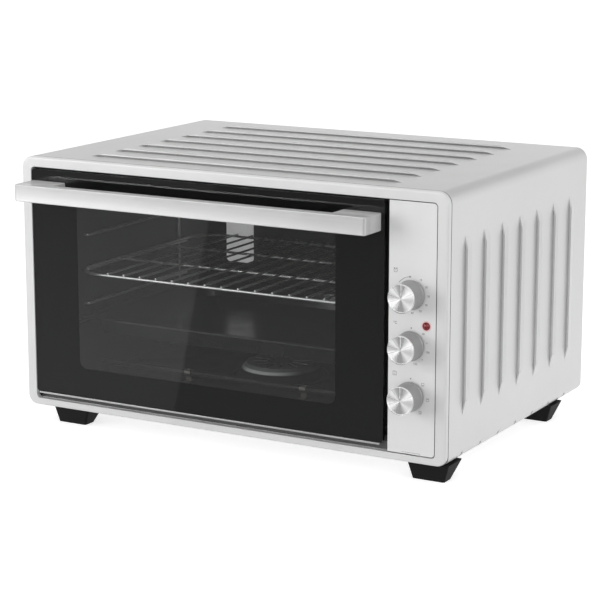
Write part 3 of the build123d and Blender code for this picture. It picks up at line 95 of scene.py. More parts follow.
class Graph:
    """Adds nodes to one node tree and joins them."""

    def __init__(self, tree: NodeTree) -> None:
        """Empties the tree.

        Args:
            tree: the node tree to fill.
        """
        tree.nodes.clear()
        self.tree = tree
        self.count = 0

    def node(self, kind: str, feeds: Optional[Feeds] = None, **settings: object) -> Node:
        """Adds one node.

        Args:
            kind: the node type without its ShaderNode prefix.
            feeds: a value or another node's socket for each input, by name or number.
            settings: properties of the node itself.

        Returns:
            The new node.
        """
        made = self.tree.nodes.new("ShaderNode" + kind)
        made.location = (220 * (self.count % 8), -260 * (self.count // 8))
        self.count += 1
        for name, value in settings.items():
            setattr(made, name, value)
        for key, value in (feeds or {}).items():
            self.feed(made.inputs[key], value)
        return made

    def feed(self, socket: NodeSocket, value: Feed) -> None:
        """Links a socket into an input, or sets the input's own value.

        Args:
            socket: the input.
            value: another node's output socket, or a plain value.
        """
        if isinstance(value, NodeSocket):
            self.tree.links.new(value, socket)
        else:
            socket.default_value = value

    def blend(self, share: Feed, low: Feed, high: Feed) -> NodeSocket:
        """Mixes two colours, by how much of the second shows."""
        return self.node("Mix", {0: share, 6: low, 7: high}, data_type="RGBA").outputs[2]

    def over(self, base: Feed, mask: NodeSocket, share: float, colour: Colour) -> NodeSocket:
        """Lays a share of a colour over another where a mask shows."""
        return self.blend(self.maths("MULTIPLY", mask, share), base, colour)

    def span(self, value: Feed, low: float, high: float, start: float = 0.0, end: float = 1.0) -> NodeSocket:
        """Maps a value from between low and high to between start and end, held at both ends."""
        feeds = {"Value": value, "From Min": low, "From Max": high, "To Min": start, "To Max": end}
        return self.node("MapRange", feeds, clamp=True).outputs[0]

    def maths(self, operation: str, *values: Feed, clamp: bool = False) -> NodeSocket:
        """Result of a Math node's operation, which may be held between 0 and 1."""
        return self.node("Math", dict(enumerate(values)), operation=operation, use_clamp=clamp).outputs[0]

    def product(self, first: Feed, *others: Feed) -> Feed:
        """Multiplies values.

        Args:
            first: the first value.
            others: the values that it is multiplied by.

        Returns:
            The product.
        """
        for other in others:
            first = self.maths("MULTIPLY", first, other)
        return first

    def noise(self, vector: Feed, scale: Feed, detail: Feed, rough: float = 0.5) -> NodeSocket:
        """Noise from 0 to 1, by its density, its number of finer layers and their strength."""
        feeds = {"Vector": vector, "Scale": scale, "Detail": detail, "Roughness": rough}
        return self.node("TexNoise", feeds).outputs["Fac"]

    def bump(self, height: NodeSocket, depth_mm: float, normal: NodeSocket) -> NodeSocket:
        """Normal that leans by a height of 0 to 1 over a depth."""
        feeds = {"Strength": 1.0, "Distance": depth_mm * MM, "Height": height, "Normal": normal}
        return self.node("Bump", feeds).outputs[0]

    def bevel(self, radius: Feed) -> NodeSocket:
        """Normal that rounds the edges by a radius."""
        return self.node("Bevel", {"Radius": radius}, samples=4).outputs[0]

    def axis(self, vector: NodeSocket, name: str) -> NodeSocket:
        """One axis of a vector."""
        return self.node("SeparateXYZ", {0: vector}).outputs[name]

    def place(self) -> NodeSocket:
        """Place on the piece, in metres, which moves with the piece."""
        return self.node("TexCoord").outputs["Object"]

    def centred(self, name: str) -> NodeSocket:
        """Place along one axis of the piece's own box, from -0.5 to 0.5."""
        return self.maths("SUBTRACT", self.axis(self.node("TexCoord").outputs["Generated"], name), 0.5)

    def reach(self, first: NodeSocket, second: NodeSocket) -> NodeSocket:
        """Distance from the middle, by its parts along two axes."""
        return self.maths("SQRT", self.maths("ADD", self.product(first, first), self.product(second, second)))

    def facing(self, name: str) -> NodeSocket:
        """One axis of the face's true normal."""
        return self.axis(self.node("NewGeometry").outputs["True Normal"], name)


class Effect(Graph):
    """Effect that several finishes share: a node group, which is built at its first use."""

    name = ""
    inputs: Sequence[tuple[str, float, float, float]] = ()
    outputs: Sequence[str] = ("Mask",)
    given: bpy.types.NodeOutputs

    @classmethod
    def group(cls) -> NodeTree:
        """Finds or builds the group.

        Returns:
            The node group.
        """
        if cls.name in bpy.data.node_groups:
            return bpy.data.node_groups[cls.name]
        tree = bpy.data.node_groups.new(cls.name, "ShaderNodeTree")
        for label, default, least, greatest in cls.inputs:
            socket = tree.interface.new_socket(label, in_out="INPUT", socket_type="NodeSocketFloat")
            socket.default_value = default
            socket.min_value = least
            socket.max_value = greatest
        for label in cls.outputs:
            tree.interface.new_socket(label, in_out="OUTPUT", socket_type="NodeSocketFloat")
        effect = cls(tree)
        effect.given = tree.nodes.new("NodeGroupInput").outputs
        leave = tree.nodes.new("NodeGroupOutput")
        for label, value in zip(cls.outputs, effect.fill()):
            effect.feed(leave.inputs[label], value)
        return tree

    def fill(self) -> Sockets:
        """Adds the nodes between the group's input and output."""
        raise NotImplementedError(self.name)


class Patches(Effect):
    """Slow uneven patches, such as light handling marks and uneven spray."""

    name = "uneven_patches"
    inputs = (("Size", 0.12, 0.0001, 10.0), ("Detail", 3.0, 0.0, 15.0))

    def fill(self) -> Sockets:
        """Noise over the piece, stretched to the full range."""
        density = self.maths("DIVIDE", 1.0, self.given["Size"])
        return (self.span(self.noise(self.place(), density, self.given["Detail"], 0.55), 0.32, 0.68),)


class Grain(Effect):
    """Fine grain of sprayed paint or moulded plastic."""

    name = "fine_grain"
    inputs = (("Size", 0.0012, 0.0001, 1.0), ("Clumps", 0.3, 0.0, 1.0))
    outputs = ("Mask", "Height")

    def fill(self) -> Sockets:
        """Fine noise with rounder cells over it.

        Returns:
            The mask and the height.
        """
        place = self.place()
        density = self.maths("DIVIDE", 1.0, self.given["Size"])
        noise = self.noise(place, density, 2.0)
        cells = self.node("TexVoronoi", {"Vector": place, "Scale": density}, feature="SMOOTH_F1")
        feeds = {0: self.given["Clumps"], 2: noise, 3: cells.outputs["Distance"]}
        height = self.node("Mix", feeds, data_type="FLOAT")
        return (self.span(noise, 0.35, 0.65), height.outputs[0])


class Streaks(Effect):
    """Long fine scratches of brushed or drawn metal."""

    name = "brushed_streaks"
    inputs = tuple(("Length " + axis, 0.001, 0.00001, 10.0) for axis in "XYZ")
    outputs = ("Mask", "Height")

    def fill(self) -> Sockets:
        """Noise stretched along the brushing, coarse and fine together.

        Returns:
            The mask and the height.
        """
        sizes = self.node("CombineXYZ", {axis: self.given["Length " + axis] for axis in "XYZ"})
        feeds = {0: self.place(), 1: sizes.outputs[0]}
        drawn = self.node("VectorMath", feeds, operation="DIVIDE").outputs[0]
        fine = self.noise(drawn, 1.0, 4.0)
        both = self.maths("MULTIPLY_ADD", self.noise(drawn, 0.35, 2.0), 0.6, self.product(fine, 0.4))
        return (self.span(both, 0.36, 0.64), fine)


class Edges(Effect):
    """Edges and corners, where handling rubs first."""

    name = "edge_wear"
    inputs = (("Reach", 0.0008, 0.0, 0.1),)

    def fill(self) -> Sockets:
        """How far the rounded normal leans from the true one, broken up by noise.

        Returns:
            The mask.
        """
        feeds = {0: self.bevel(self.given["Reach"]), 1: self.node("NewGeometry").outputs["Normal"]}
        lean = self.node("VectorMath", feeds, operation="DOT_PRODUCT")
        broken = self.span(self.noise(self.place(), 90.0, 4.0), 0.38, 0.6)
        return (self.product(self.span(lean.outputs["Value"], 0.998, 0.86), broken),)


class Dust(Effect):
    """Dust that settles on surfaces that face up."""

    name = "settled_dust"
    inputs = (("Amount", 0.2, 0.0, 1.0),)

    def fill(self) -> Sockets:
        """Upward faces, broken up by noise at two sizes.

        Returns:
            The mask.
        """
        facing = self.span(self.axis(self.node("NewGeometry").outputs["Normal"], "Z"), 0.35, 1.0)
        place = self.place()
        wide = self.span(self.noise(place, 22.0, 5.0), 0.4, 0.75)
        spread = self.product(facing, wide, self.noise(place, 700.0, 1.0))
        return (self.maths("MULTIPLY", spread, self.given["Amount"], clamp=True),)


class Seam(Effect):
    """Thin line of shadow and dust where the front frame meets the casing."""

    name = "seam_shadow"
    inputs = (("Place", 0.0, -10.0, 10.0), ("Width", 0.001, 0.0001, 1.0))

    def fill(self) -> Sockets:
        """Strip on both sides of the seam's plane, broken up a little by noise.

        Returns:
            The mask.
        """
        place = self.place()
        offset = self.maths("SUBTRACT", self.axis(place, "Y"), self.given["Place"])
        share = self.maths("DIVIDE", self.maths("ABSOLUTE", offset), self.given["Width"])
        strip = self.span(share, 0.4, 1.0, 1.0, 0.0)
        return (self.product(strip, self.span(self.noise(place, 60.0, 3.0), 0.3, 0.6, 0.75, 1.0)),)


class Slits(Effect):
    """Shade in the top louvres' slits, under their lips, and less of it on the lips' edges."""

    name = "louvre_slits"
    inputs = (("Top", 0.0, -10.0, 10.0),)

    def fill(self) -> Sockets:
        """Faces that look to the front, by how far they lie under the louvres' top.

        Returns:
            The mask.
        """
        front = self.span(self.facing("Y"), -0.8, -0.5, 1.0, 0.0)
        below = self.maths("SUBTRACT", self.given["Top"], self.axis(self.place(), "Z"))
        lip = self.span(below, 1.5 * MM, 1.9 * MM, 0.25, 1.0)
        deep = self.span(below, 3.9 * MM, 4.2 * MM, 1.0, 0.0)
        return (self.product(front, lip, deep),)


class WallShade(Effect):
    """Painted shade on walls that turn away from the front, such as the sides of a pressed tray in its gap."""

    name = "side_wall_shade"

    def fill(self) -> Sockets:
        """How far the true normal is from front and back."""
        return (self.span(self.maths("ABSOLUTE", self.facing("Y")), 0.3, 0.75, 1.0, 0.0),)


class Coat(Graph):
    """Graph of a material, with its Principled shader."""

    def __init__(self, tree: NodeTree) -> None:
        """Empties the tree and starts with the shader."""
        super().__init__(tree)
        self.shader = self.node("BsdfPrincipled")

    def set(self, **values: Feed) -> None:
        """Feeds the shader's inputs, named with underscores for spaces."""
        for name, value in values.items():
            self.feed(self.shader.inputs[name.replace("_", " ")], value)

    def put(self, effect: type[Effect], **values: float) -> bpy.types.NodeOutputs:
        """Places a shared effect.

        Args:
            effect: the effect.
            values: its inputs, with underscores for spaces.

        Returns:
            Its outputs.
        """
        made = self.node("Group", node_tree=effect.group())
        for name, value in values.items():
            made.inputs[name.replace("_", " ")].default_value = value
        return made.outputs


@dataclass(frozen=True)
class Finish:
    """A finish: what is the same all over a surface. Its subclasses add what varies."""

    name: str
    colour: Colour
    rough: float
    metallic: float = 0.0
    round_mm: float = 0.4

    def build(self) -> Material:
        """Makes the material.

        Returns:
            The finished material.
        """
        material = bpy.data.materials.new(self.name)
        material.use_nodes = True
        coat = Coat(material.node_tree)
        coat.set(Base_Color=self.colour, Roughness=self.rough, Metallic=self.metallic)
        self.dress(coat)
        coat.node("OutputMaterial", {"Surface": self.surface(coat)})
        material.diffuse_color = self.colour
        return material

    def dress(self, coat: Coat) -> None:
        """Adds what varies over the surface."""
        raise NotImplementedError(self.name)

    def surface(self, coat: Coat) -> NodeSocket:
        """What the material puts out."""
        return coat.shader.outputs[0]

    def shade(self, share: float) -> Colour:
        """The finish's colour, made lighter or darker, with no channel over 1."""
        red, green, blue = (min(channel * share, 1.0) for channel in self.colour[:3])
        return (red, green, blue, 1.0)

    def vary_rough(self, coat: Coat, mask: NodeSocket, less: float, more: float) -> NodeSocket:
        """Roughness that a mask takes from a little less than the finish's to a little more."""
        return coat.span(mask, 0.0, 1.0, self.rough - less, self.rough + more)

    def relief(self, coat: Coat, height: NodeSocket, depth_mm: float, crown_mm: float = 0.0) -> None:
        """Rounds the edges and adds fine relief, on a crowned face where there is a crown.

        Args:
            coat: the material's graph.
            height: the relief, 0 to 1.
            depth_mm: how deep the relief is.
            crown_mm: how much the middle of the piece's height stands out, or lies in below zero.
        """
        normal = coat.bevel(self.round_mm * MM)
        if crown_mm:
            up = coat.centred("Z")
            normal = coat.bump(coat.product(up, up, -4.0), crown_mm, normal)
        coat.set(Normal=coat.bump(height, depth_mm, normal))


@dataclass(frozen=True)
class Paint(Finish):
    """Sprayed or powder-coated sheet with a fine metal fleck."""

    fleck: float = 0.05
    fleck_mm: float = 0.9
    depth_mm: float = 0.012
    wear: float = 0.35
    wear_reach_mm: float = 0.7
    dust: float = 0.1
    patch: float = 0.035
    seam: float = 0.0
    wall_shade: float = 0.0
    slits: float = 0.0

    def dress(self, coat: Coat) -> None:
        """Fleck, uneven spray, rubbed edges and a little dust.

        Args:
            coat: the material's graph.
        """
        patches = coat.put(Patches, Size=0.16, Detail=4.0)["Mask"]
        flecks = coat.put(Grain, Size=self.fleck_mm * MM, Clumps=0.25)
        rubbed = coat.put(Edges, Reach=self.wear_reach_mm * MM)["Mask"]
        settled = coat.put(Dust, Amount=self.dust)["Mask"]
        base = coat.blend(patches, self.shade(1 - self.patch), self.shade(1 + self.patch))
        base = coat.over(base, flecks["Mask"], self.fleck, self.shade(1.8))
        base = coat.over(base, rubbed, self.wear, self.shade(1.25))
        base = coat.over(base, settled, 1.0, tone(176, 172, 164))
        if self.seam:
            base = coat.over(base, coat.put(Seam, Place=SEAM_Y, Width=0.9 * MM)["Mask"], self.seam, grey(40))
        if self.slits:
            base = coat.over(base, coat.put(Slits, Top=LOUVRE_TOP)["Mask"], self.slits, grey(24))
        # Painted shade on the walls that turn away from the front, the dark of a gap
        if self.wall_shade:
            base = coat.over(base, coat.put(WallShade)["Mask"], self.wall_shade, grey(30))
        rough = coat.maths("MULTIPLY_ADD", settled, 0.3, self.vary_rough(coat, patches, 0.035, 0.035))
        coat.set(Base_Color=base, Roughness=rough)
        self.relief(coat, flecks["Height"], self.depth_mm)


@dataclass(frozen=True)
class Sheet(Finish):
    """Zinc-coated or aluminised sheet with crystal patches."""

    crystal_mm: float = 7.0
    contrast: float = 0.16
    stain: float = 0.25

    def dress(self, coat: Coat) -> None:
        """Crystal patches in colour and gloss, with fine rolling marks.

        Args:
            coat: the material's graph.
        """
        feeds = {"Vector": coat.place(), "Scale": 1 / (self.crystal_mm * MM), "Randomness": 1.0}
        crystals = coat.node("TexVoronoi", feeds, feature="F1")
        shade = coat.node("SeparateColor", {0: crystals.outputs["Color"]}).outputs[0]
        patches = coat.put(Patches, Size=0.09, Detail=3.0)["Mask"]
        rolled = coat.put(Streaks, Length_X=0.0012, Length_Y=0.05, Length_Z=0.0012)
        base = coat.blend(shade, self.shade(1 - self.contrast), self.shade(1 + self.contrast))
        coat.set(Base_Color=coat.over(base, patches, self.stain, self.shade(0.8)))
        coat.set(Roughness=self.vary_rough(coat, shade, 0.06, 0.08))
        self.relief(coat, rolled["Height"], 0.01)


@dataclass(frozen=True)
class Brushed(Finish):
    """Brushed, drawn or turned metal."""

    along_mm: Point = (60.0, 0.5, 0.5)
    contrast: float = 0.08
    depth_mm: float = 0.006
    wear: float = 0.3
    crown_mm: float = 0.0

    def dress(self, coat: Coat) -> None:
        """Streaks in colour and gloss, bright rubbed edges and faint handling marks.

        Args:
            coat: the material's graph.
        """
        x, y, z = (value * MM for value in self.along_mm)
        drawn = coat.put(Streaks, Length_X=x, Length_Y=y, Length_Z=z)
        patches = coat.put(Patches, Size=0.05, Detail=4.0)["Mask"]
        rubbed = coat.put(Edges, Reach=0.0006)["Mask"]
        base = coat.blend(drawn["Mask"], self.shade(1 - self.contrast), self.shade(1 + self.contrast))
        coat.set(Base_Color=self.tint(coat, coat.over(base, rubbed, self.wear, self.shade(1.3))))
        rough = self.vary_rough(coat, drawn["Mask"], 0.04, 0.05)
        coat.set(Roughness=coat.maths("MULTIPLY_ADD", patches, 0.05, rough))
        self.relief(coat, drawn["Height"], self.depth_mm, self.crown_mm)

    def tint(self, coat: Coat, metal: NodeSocket) -> NodeSocket:
        """The metal's colour, which a subclass may change by place."""
        return metal


@dataclass(frozen=True)
class RimHighlighted(Brushed):
    """Round pressed cover, dark on its slope, with a painted highlight on the front of its rim."""

    rim: float = 0.39
    rim_width: float = 0.014

    def tint(self, coat: Coat, metal: NodeSocket) -> NodeSocket:
        """Darkens the slope and paints a highlight on the rim's front, by radius.

        Args:
            coat: the material's graph.
            metal: the metal's colour.

        Returns:
            The new colour.
        """
        along = coat.centred("Y")
        radius = coat.reach(coat.centred("X"), along)
        slope = coat.span(radius, self.rim, self.rim + self.rim_width)
        away = coat.maths("ABSOLUTE", coat.maths("SUBTRACT", radius, self.rim))
        # Painted highlight: a bright band on the rim, only on its front part
        rim_highlight = coat.span(away, self.rim_width * 0.6, self.rim_width, 1.0, 0.0)
        front = coat.span(along, -0.36, -0.18, 1.0, 0.0)
        coat.set(Metallic=coat.span(radius, 0.0, self.rim - self.rim_width, self.metallic, 0.1))
        return coat.blend(coat.product(rim_highlight, front), coat.blend(slope, metal, grey(34)), grey(252))


@dataclass(frozen=True)
class Spun(Finish):
    """Face turned on a lathe: fine rings about its own middle, with painted highlights in rays at fixed
    angles.
    """

    ring_mm: float = 0.22
    face_mm: float = 32.0
    # Angles in degrees of the painted highlight rays
    rays: tuple[float, ...] = (30.0, 140.0)

    def dress(self, coat: Coat) -> None:
        """Rings about the front-to-back axis through the piece's middle, painted highlight rays and a bright
        pointer.

        Args:
            coat: the material's graph.
        """
        across, up = coat.centred("X"), coat.centred("Z")
        radius = coat.product(coat.reach(across, up), self.face_mm / self.ring_mm)
        rings = coat.noise(coat.node("CombineXYZ", {"X": radius}).outputs[0], 1.0, 2.0)
        angle = coat.maths("ARCTAN2", up, across)
        circle = coat.node("CombineXYZ", {"X": coat.maths("COSINE", angle), "Y": coat.maths("SINE", angle)})
        unequal = coat.noise(circle.outputs[0], 3.0, 3.0)
        # Painted highlights: lighter, less metallic rays at fixed angles, where lamps glint on the turned
        # rings; the pointer is added to them
        bright: Feed = 0.0
        for ray in self.rays:
            nearness = coat.maths("COSINE", coat.maths("SUBTRACT", angle, math.radians(ray)))
            near = coat.maths("POWER", coat.product(nearness, nearness), 7.0)
            bright = coat.maths("ADD", near, bright, clamp=True)
        bright = coat.product(bright, coat.span(unequal, 0.35, 0.6, 0.85, 1.0))
        beside = coat.span(coat.maths("ABSOLUTE", across), 0.012, 0.024, 1.0, 0.0)
        pointer = coat.product(beside, coat.span(up, 0.08, 0.12))
        bright = coat.maths("ADD", bright, pointer, clamp=True)
        base = coat.blend(coat.span(rings, 0.35, 0.65), self.shade(0.92), self.colour)
        coat.set(Base_Color=coat.blend(bright, base, self.shade(1.2)))
        coat.set(Metallic=coat.span(bright, 0.0, 1.0, 1.0, 0.2))
        coat.set(Roughness=coat.span(unequal, 0.4, 0.6, self.rough - 0.03, self.rough + 0.03))
        turned = coat.node("Tangent", direction_type="RADIAL", axis="Y").outputs[0]
        coat.set(Anisotropic=0.85, Tangent=turned)
        self.relief(coat, rings, 0.004)


@dataclass(frozen=True)
class Moulded(Finish):
    """Moulded plastic or rubber with a fine leather-like or sandblasted skin."""

    grain_mm: float = 0.5
    depth_mm: float = 0.02
    wear: float = 0.3
    dust: float = 0.15
    gloss: float = 0.5

    def dress(self, coat: Coat) -> None:
        """Skin grain, slight flow patches, rubbed edges and dust.

        Args:
            coat: the material's graph.
        """
        skin = coat.put(Grain, Size=self.grain_mm * MM, Clumps=0.6)
        flow = coat.put(Patches, Size=0.03, Detail=3.0)["Mask"]
        rubbed = coat.put(Edges, Reach=0.0007)["Mask"]
        settled = coat.put(Dust, Amount=self.dust)["Mask"]
        base = coat.blend(flow, self.shade(0.93), self.shade(1.07))
        base = coat.over(base, rubbed, self.wear, self.shade(1.6))
        coat.set(Base_Color=coat.over(base, settled, 1.0, tone(150, 146, 140)))
        coat.set(Roughness=self.vary_rough(coat, skin["Mask"], 0.04, 0.04), Specular_IOR_Level=self.gloss)
        self.relief(coat, skin["Height"], self.depth_mm)


@dataclass(frozen=True)
class Enamel(Finish):
    """Glossy fired enamel with fine light specks."""

    speck: float = 0.25
    speck_mm: float = 1.6
    wear: float = 0.3
    gloss: float = 0.3

    def dress(self, coat: Coat) -> None:
        """Specks, a slightly wavy gloss and thin worn edges.

        Args:
            coat: the material's graph.
        """
        specks = coat.put(Grain, Size=self.speck_mm * MM, Clumps=0.5)["Mask"]
        wavy = coat.put(Patches, Size=0.035, Detail=2.0)["Mask"]
        rubbed = coat.put(Edges, Reach=0.0008)["Mask"]
        base = coat.blend(wavy, self.shade(0.92), self.shade(1.08))
        base = coat.over(base, coat.span(specks, 0.78, 0.95), self.speck, self.shade(3.0))
        coat.set(Base_Color=coat.over(base, rubbed, self.wear, self.shade(2.2)))
        coat.set(Roughness=self.vary_rough(coat, wavy, 0.03, 0.05), Specular_IOR_Level=self.gloss)
        self.relief(coat, wavy, 0.008)


@dataclass(frozen=True)
class Pane(Finish):
    """Clear toughened glass that lets lamps through, with faint wiping marks."""

    ior: float = 1.5

    def dress(self, coat: Coat) -> None:
        """Wiping marks that only change the gloss a little.

        Args:
            coat: the material's graph.
        """
        wiped = coat.put(Patches, Size=0.07, Detail=6.0)["Mask"]
        coat.set(Transmission_Weight=1.0, IOR=self.ior, Normal=coat.bevel(self.round_mm * MM))
        coat.set(Roughness=coat.span(wiped, 0.55, 1.0, 0.0, self.rough))

    def surface(self, coat: Coat) -> NodeSocket:
        """Glass to the eye, clear to lamps and to soft light.

        Args:
            coat: the material's graph.

        Returns:
            The mixed shader's socket.
        """
        rays = coat.node("LightPath").outputs
        passing = coat.maths("ADD", rays["Is Shadow Ray"], rays["Is Diffuse Ray"], clamp=True)
        clear = coat.node("BsdfTransparent", {"Color": (0.84, 0.86, 0.85, 1.0)}).outputs[0]
        return coat.node("MixShader", {0: passing, 1: coat.shader.outputs[0], 2: clear}).outputs[0]


@dataclass(frozen=True)
class Lens(Finish):
    """Coloured clear plastic, thick enough to look deep."""

    clear: float = 0.35

    def dress(self, coat: Coat) -> None:
        """Colour that is deeper in patches, under a smooth coat.

        Args:
            coat: the material's graph.
        """
        patches = coat.put(Patches, Size=0.004, Detail=2.0)["Mask"]
        coat.set(Base_Color=coat.blend(patches, self.shade(0.8), self.shade(1.25)))
        coat.set(Transmission_Weight=self.clear, Coat_Weight=0.6, Coat_Roughness=0.05)
        self.relief(coat, patches, 0.01)


@dataclass(frozen=True)
class Frosted(Finish):
    """Frosted lamp glass with a faint glow, which stands for the light that it catches."""

    glow: float = 0.0

    def dress(self, coat: Coat) -> None:
        """Fine frosting over uneven glass.

        Args:
            coat: the material's graph.
        """
        frost = coat.put(Grain, Size=0.0008, Clumps=0.4)
        patches = coat.put(Patches, Size=0.03, Detail=3.0)["Mask"]
        base = coat.blend(patches, self.shade(0.88), self.colour)
        coat.set(Base_Color=base, Emission_Color=base, Emission_Strength=self.glow)
        coat.set(Roughness=self.vary_rough(coat, frost["Mask"], 0.0, 0.1))
        self.relief(coat, frost["Height"], 0.03)


# Skin of the panel's printed marks, which are smooth and new
FLAT = {"grain_mm": 0.2, "depth_mm": 0.001, "wear": 0.0}

# Streaks along the handle's bar
DRAWN_MM = (160.0, 0.35, 0.35)


class Look(Enum):
    """Every finish on the oven."""

    CASING = Paint("casing_silver_paint", grey(214), 0.38, 0.4, 0.35, 0.1, wear=0.25, seam=0.8, slits=0.7)
    FRAME = Paint("front_frame_silver", grey(228), 0.36, 0.1, 0.5, 0.06, wear=0.2, dust=0.6, seam=0.8)
    PANEL = Paint("control_panel_silver", grey(234), 0.36, 0.0, 0.4, 0.06, wear=0.0, wall_shade=0.9)
    BLOCK = Paint("handle_block_silver", grey(202), 0.42, 0.0, 0.5, 0.05, wear=0.3)
    CHASSIS = Paint("chassis_dark_paint", grey(74), 0.5, 0.0, 0.3, 0.03, wear=0.2)
    DOOR_INNER = Paint("door_frame_dark_paint", grey(58), 0.45, 0.0, 0.4, 0.03, wear=0.3)
    ZINC = Sheet("zinc_coated_sheet", grey(186), 0.42, 1.0, 0.3)
    CAVITY = Enamel("cavity_grey_enamel", grey(32), 0.42, 0.0, 0.5, 0.02)
    FLOOR = Enamel("cavity_floor_enamel", grey(32), 0.4, 0.0, 0.5, 0.02)
    TRAY = Enamel("tray_dark_enamel", grey(30), 0.2, 0.0, 0.5, 0.03, gloss=0.4)
    DOME = RimHighlighted("dome_steel", grey(150), 0.3, 0.5, 0.9, (30.0, 30.0, 30.0), depth_mm=0.001)
    SILL = Brushed("sill_steel", grey(196), 0.4, 0.4, 0.3)
    SCREW = Brushed("screw_zinc", grey(186), 0.32, 1.0, 0.3, (0.8, 0.8, 0.8))
    HINGE = Brushed("hinge_zinc", grey(178), 0.36, 1.0, 0.3, (6.0, 6.0, 6.0))
    WIRE = Brushed("chromed_wire", grey(200), 0.3, 0.7, 0.2, (0.6, 30.0, 0.6))
    HEATER = Brushed("heater_oxide", tone(40, 38, 37), 0.55, 0.3, 0.2, (12.0, 0.7, 0.7))
    CLIP = Brushed("clip_oxide", tone(112, 108, 104), 0.5, 0.9, 0.2, (2.0, 2.0, 2.0))
    BULB = Brushed("copper_bulb", tone(184, 124, 92), 0.3, 1.0, 0.3, (10.0, 0.7, 0.7))
    SHAFT = Brushed("shaft_steel", grey(190), 0.28, 1.0, 0.2, (0.5, 8.0, 0.5))
    TRIM = Brushed("door_trim_bright", grey(196), 0.3, 0.9, 0.2)
    HANDLE = Brushed("handle_silver", grey(208), 0.3, 0.5, 0.6, DRAWN_MM, 0.02, 0.002, crown_mm=-0.22)
    KNOB = Moulded("knob_satin_grey", grey(168), 0.5, 0.35, 0.3, 0.4, 0.006, dust=0.05)
    CAP = Spun("knob_spun_face", grey(238), 0.3, 1.0, 0.15)
    FOOT = Moulded("foot_black_rubber", grey(14), 0.6, 0.0, 0.5, 0.8, wear=0.15, dust=0.02, gloss=0.15)
    RUBBER = Moulded("gland_black_rubber", grey(34), 0.6, 0.0, 0.4, 0.6)
    SWITCH = Moulded("switch_black_plastic", grey(44), 0.42, 0.0, 0.3)
    TERMINAL = Moulded("terminal_pale_plastic", tone(214, 206, 186), 0.45, 0.0, 0.3)
    BORDER = Moulded("border_black_enamel", grey(12), 0.3, 0.0, 0.1, 0.3, 0.001, wear=0.0, dust=0.0)
    GLASS = Pane("door_pane", (0.97, 0.975, 0.975, 1.0), 0.01, 0.0, 0.25)
    LAMP = Frosted("lamp_frosted_glass", grey(236), 0.3, 0.0, 0.6, 0.32)
    PILOT = Lens("pilot_red_lens", tone(150, 14, 26), 0.12, 0.0, 0.2)
    RING = Moulded("pilot_pale_ring", tone(244, 200, 202), 0.4, 0.0, 0.1, wear=0.0, dust=0.0)
    # Dark strip that stands for the shadow in the gap round the panel: painted shadow
    GAP_SHADOW = Moulded("joint_shadow_line", grey(44), 0.6, 0.0, 0.05, gloss=0.2, **FLAT)
    INK = Moulded("printed_grey_ink", grey(106), 0.5, 0.0, 0.05, dust=0.0, **FLAT)


def linked(name: str, data: ID) -> Object:
    """Adds an object to the scene.

    Args:
        name: its name.
        data: its mesh, curve, lamp or camera.

    Returns:
        The new object.
    """
    made = bpy.data.objects.new(name, data)
    bpy.context.scene.collection.objects.link(made)
    return made


def meshed(shape: bmesh.types.BMesh, name: str, outward: bool = False) -> Mesh:
    """Turns a shape into a mesh and frees it.

    Args:
        shape: the shape.
        name: the mesh's name.
        outward: whether its faces are turned outwards first.

    Returns:
        The mesh.
    """
    if outward:
        bmesh.ops.recalc_face_normals(shape, faces=shape.faces)
    mesh = bpy.data.meshes.new(name)
    shape.to_mesh(mesh)
    shape.free()
    return mesh


def evaluated(thing: Object) -> Mesh:
    """New mesh of a text or of an object with its modifiers applied."""
    bpy.context.view_layer.update()
    return bpy.data.meshes.new_from_object(thing.evaluated_get(bpy.context.evaluated_depsgraph_get()))


def turned_mesh(name: str, profile: Sequence[Spot], centre: Vector, steps: int) -> Mesh:
    """Mesh turned about a front-to-back axis.

    Args:
        name: the mesh's name.
        profile: radius and y of each point along the outline, in metres.
        centre: a point on the axis; its y isn't used.
        steps: sides of each ring.

    Returns:
        The closed mesh.
    """
    shape = bmesh.new()
    rings = []
    turns = [2 * math.pi * i / steps for i in range(steps)]
    for radius, y in profile:
        spots = [(radius * math.cos(turn), radius * math.sin(turn)) for turn in turns] if radius else [(0, 0)]
        rings.append([shape.verts.new((centre.x + x, y, centre.z + z)) for x, z in spots])
    for first, second in zip(rings, rings[1:]):
        for i in range(steps):
            j = (i + 1) % steps
            corners = [ring[k % len(ring)] for ring, k in ((first, i), (first, j), (second, j), (second, i))]
            unique = list(dict.fromkeys(corners))
            if len(unique) > 2:
                shape.faces.new(unique)
    return meshed(shape, name, outward=True)


def smooth(mesh: Mesh, angle: float) -> Mesh:
    """Shades a mesh smooth, and sharp where faces meet at more than an angle.

    Args:
        mesh: the mesh.
        angle: the angle in degrees.

    Returns:
        The same mesh.
    """
    mesh.shade_smooth()
    mesh.set_sharp_from_angle(angle=math.radians(angle))
    return mesh


class Workshop:
    """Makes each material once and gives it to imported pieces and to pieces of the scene's own."""

    def __init__(self) -> None:
        """Starts with no materials."""
        self.materials: dict[Look, Material] = {}

    def paint(self, mesh: Mesh, look: Look) -> None:
        """Gives a mesh one finish, whose material is built at its first use.

        Args:
            mesh: the mesh.
            look: its finish.
        """
        if look not in self.materials:
            self.materials[look] = look.value.build()
        mesh.materials.clear()
        mesh.materials.append(self.materials[look])

    def dress(self, looks: dict[Look, str]) -> None:
        """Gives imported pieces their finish.

        Args:
            looks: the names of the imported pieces, parted by spaces, by finish.
        """
        for look, names in looks.items():
            for name in names.split():
                self.paint(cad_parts[name].data, look)
                LOG.info("%s has the finish %s", name, look.value.name)

    def piece(self, mesh: Mesh, look: Look, body: str, slot: str) -> Object:
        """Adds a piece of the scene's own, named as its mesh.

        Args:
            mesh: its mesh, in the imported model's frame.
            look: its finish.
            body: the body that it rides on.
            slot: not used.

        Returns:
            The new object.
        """
        made = linked(mesh.name, mesh)
        self.paint(mesh, look)
        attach(made, body)
        LOG.info("%s has %d faces", mesh.name, len(mesh.polygons))
        return made


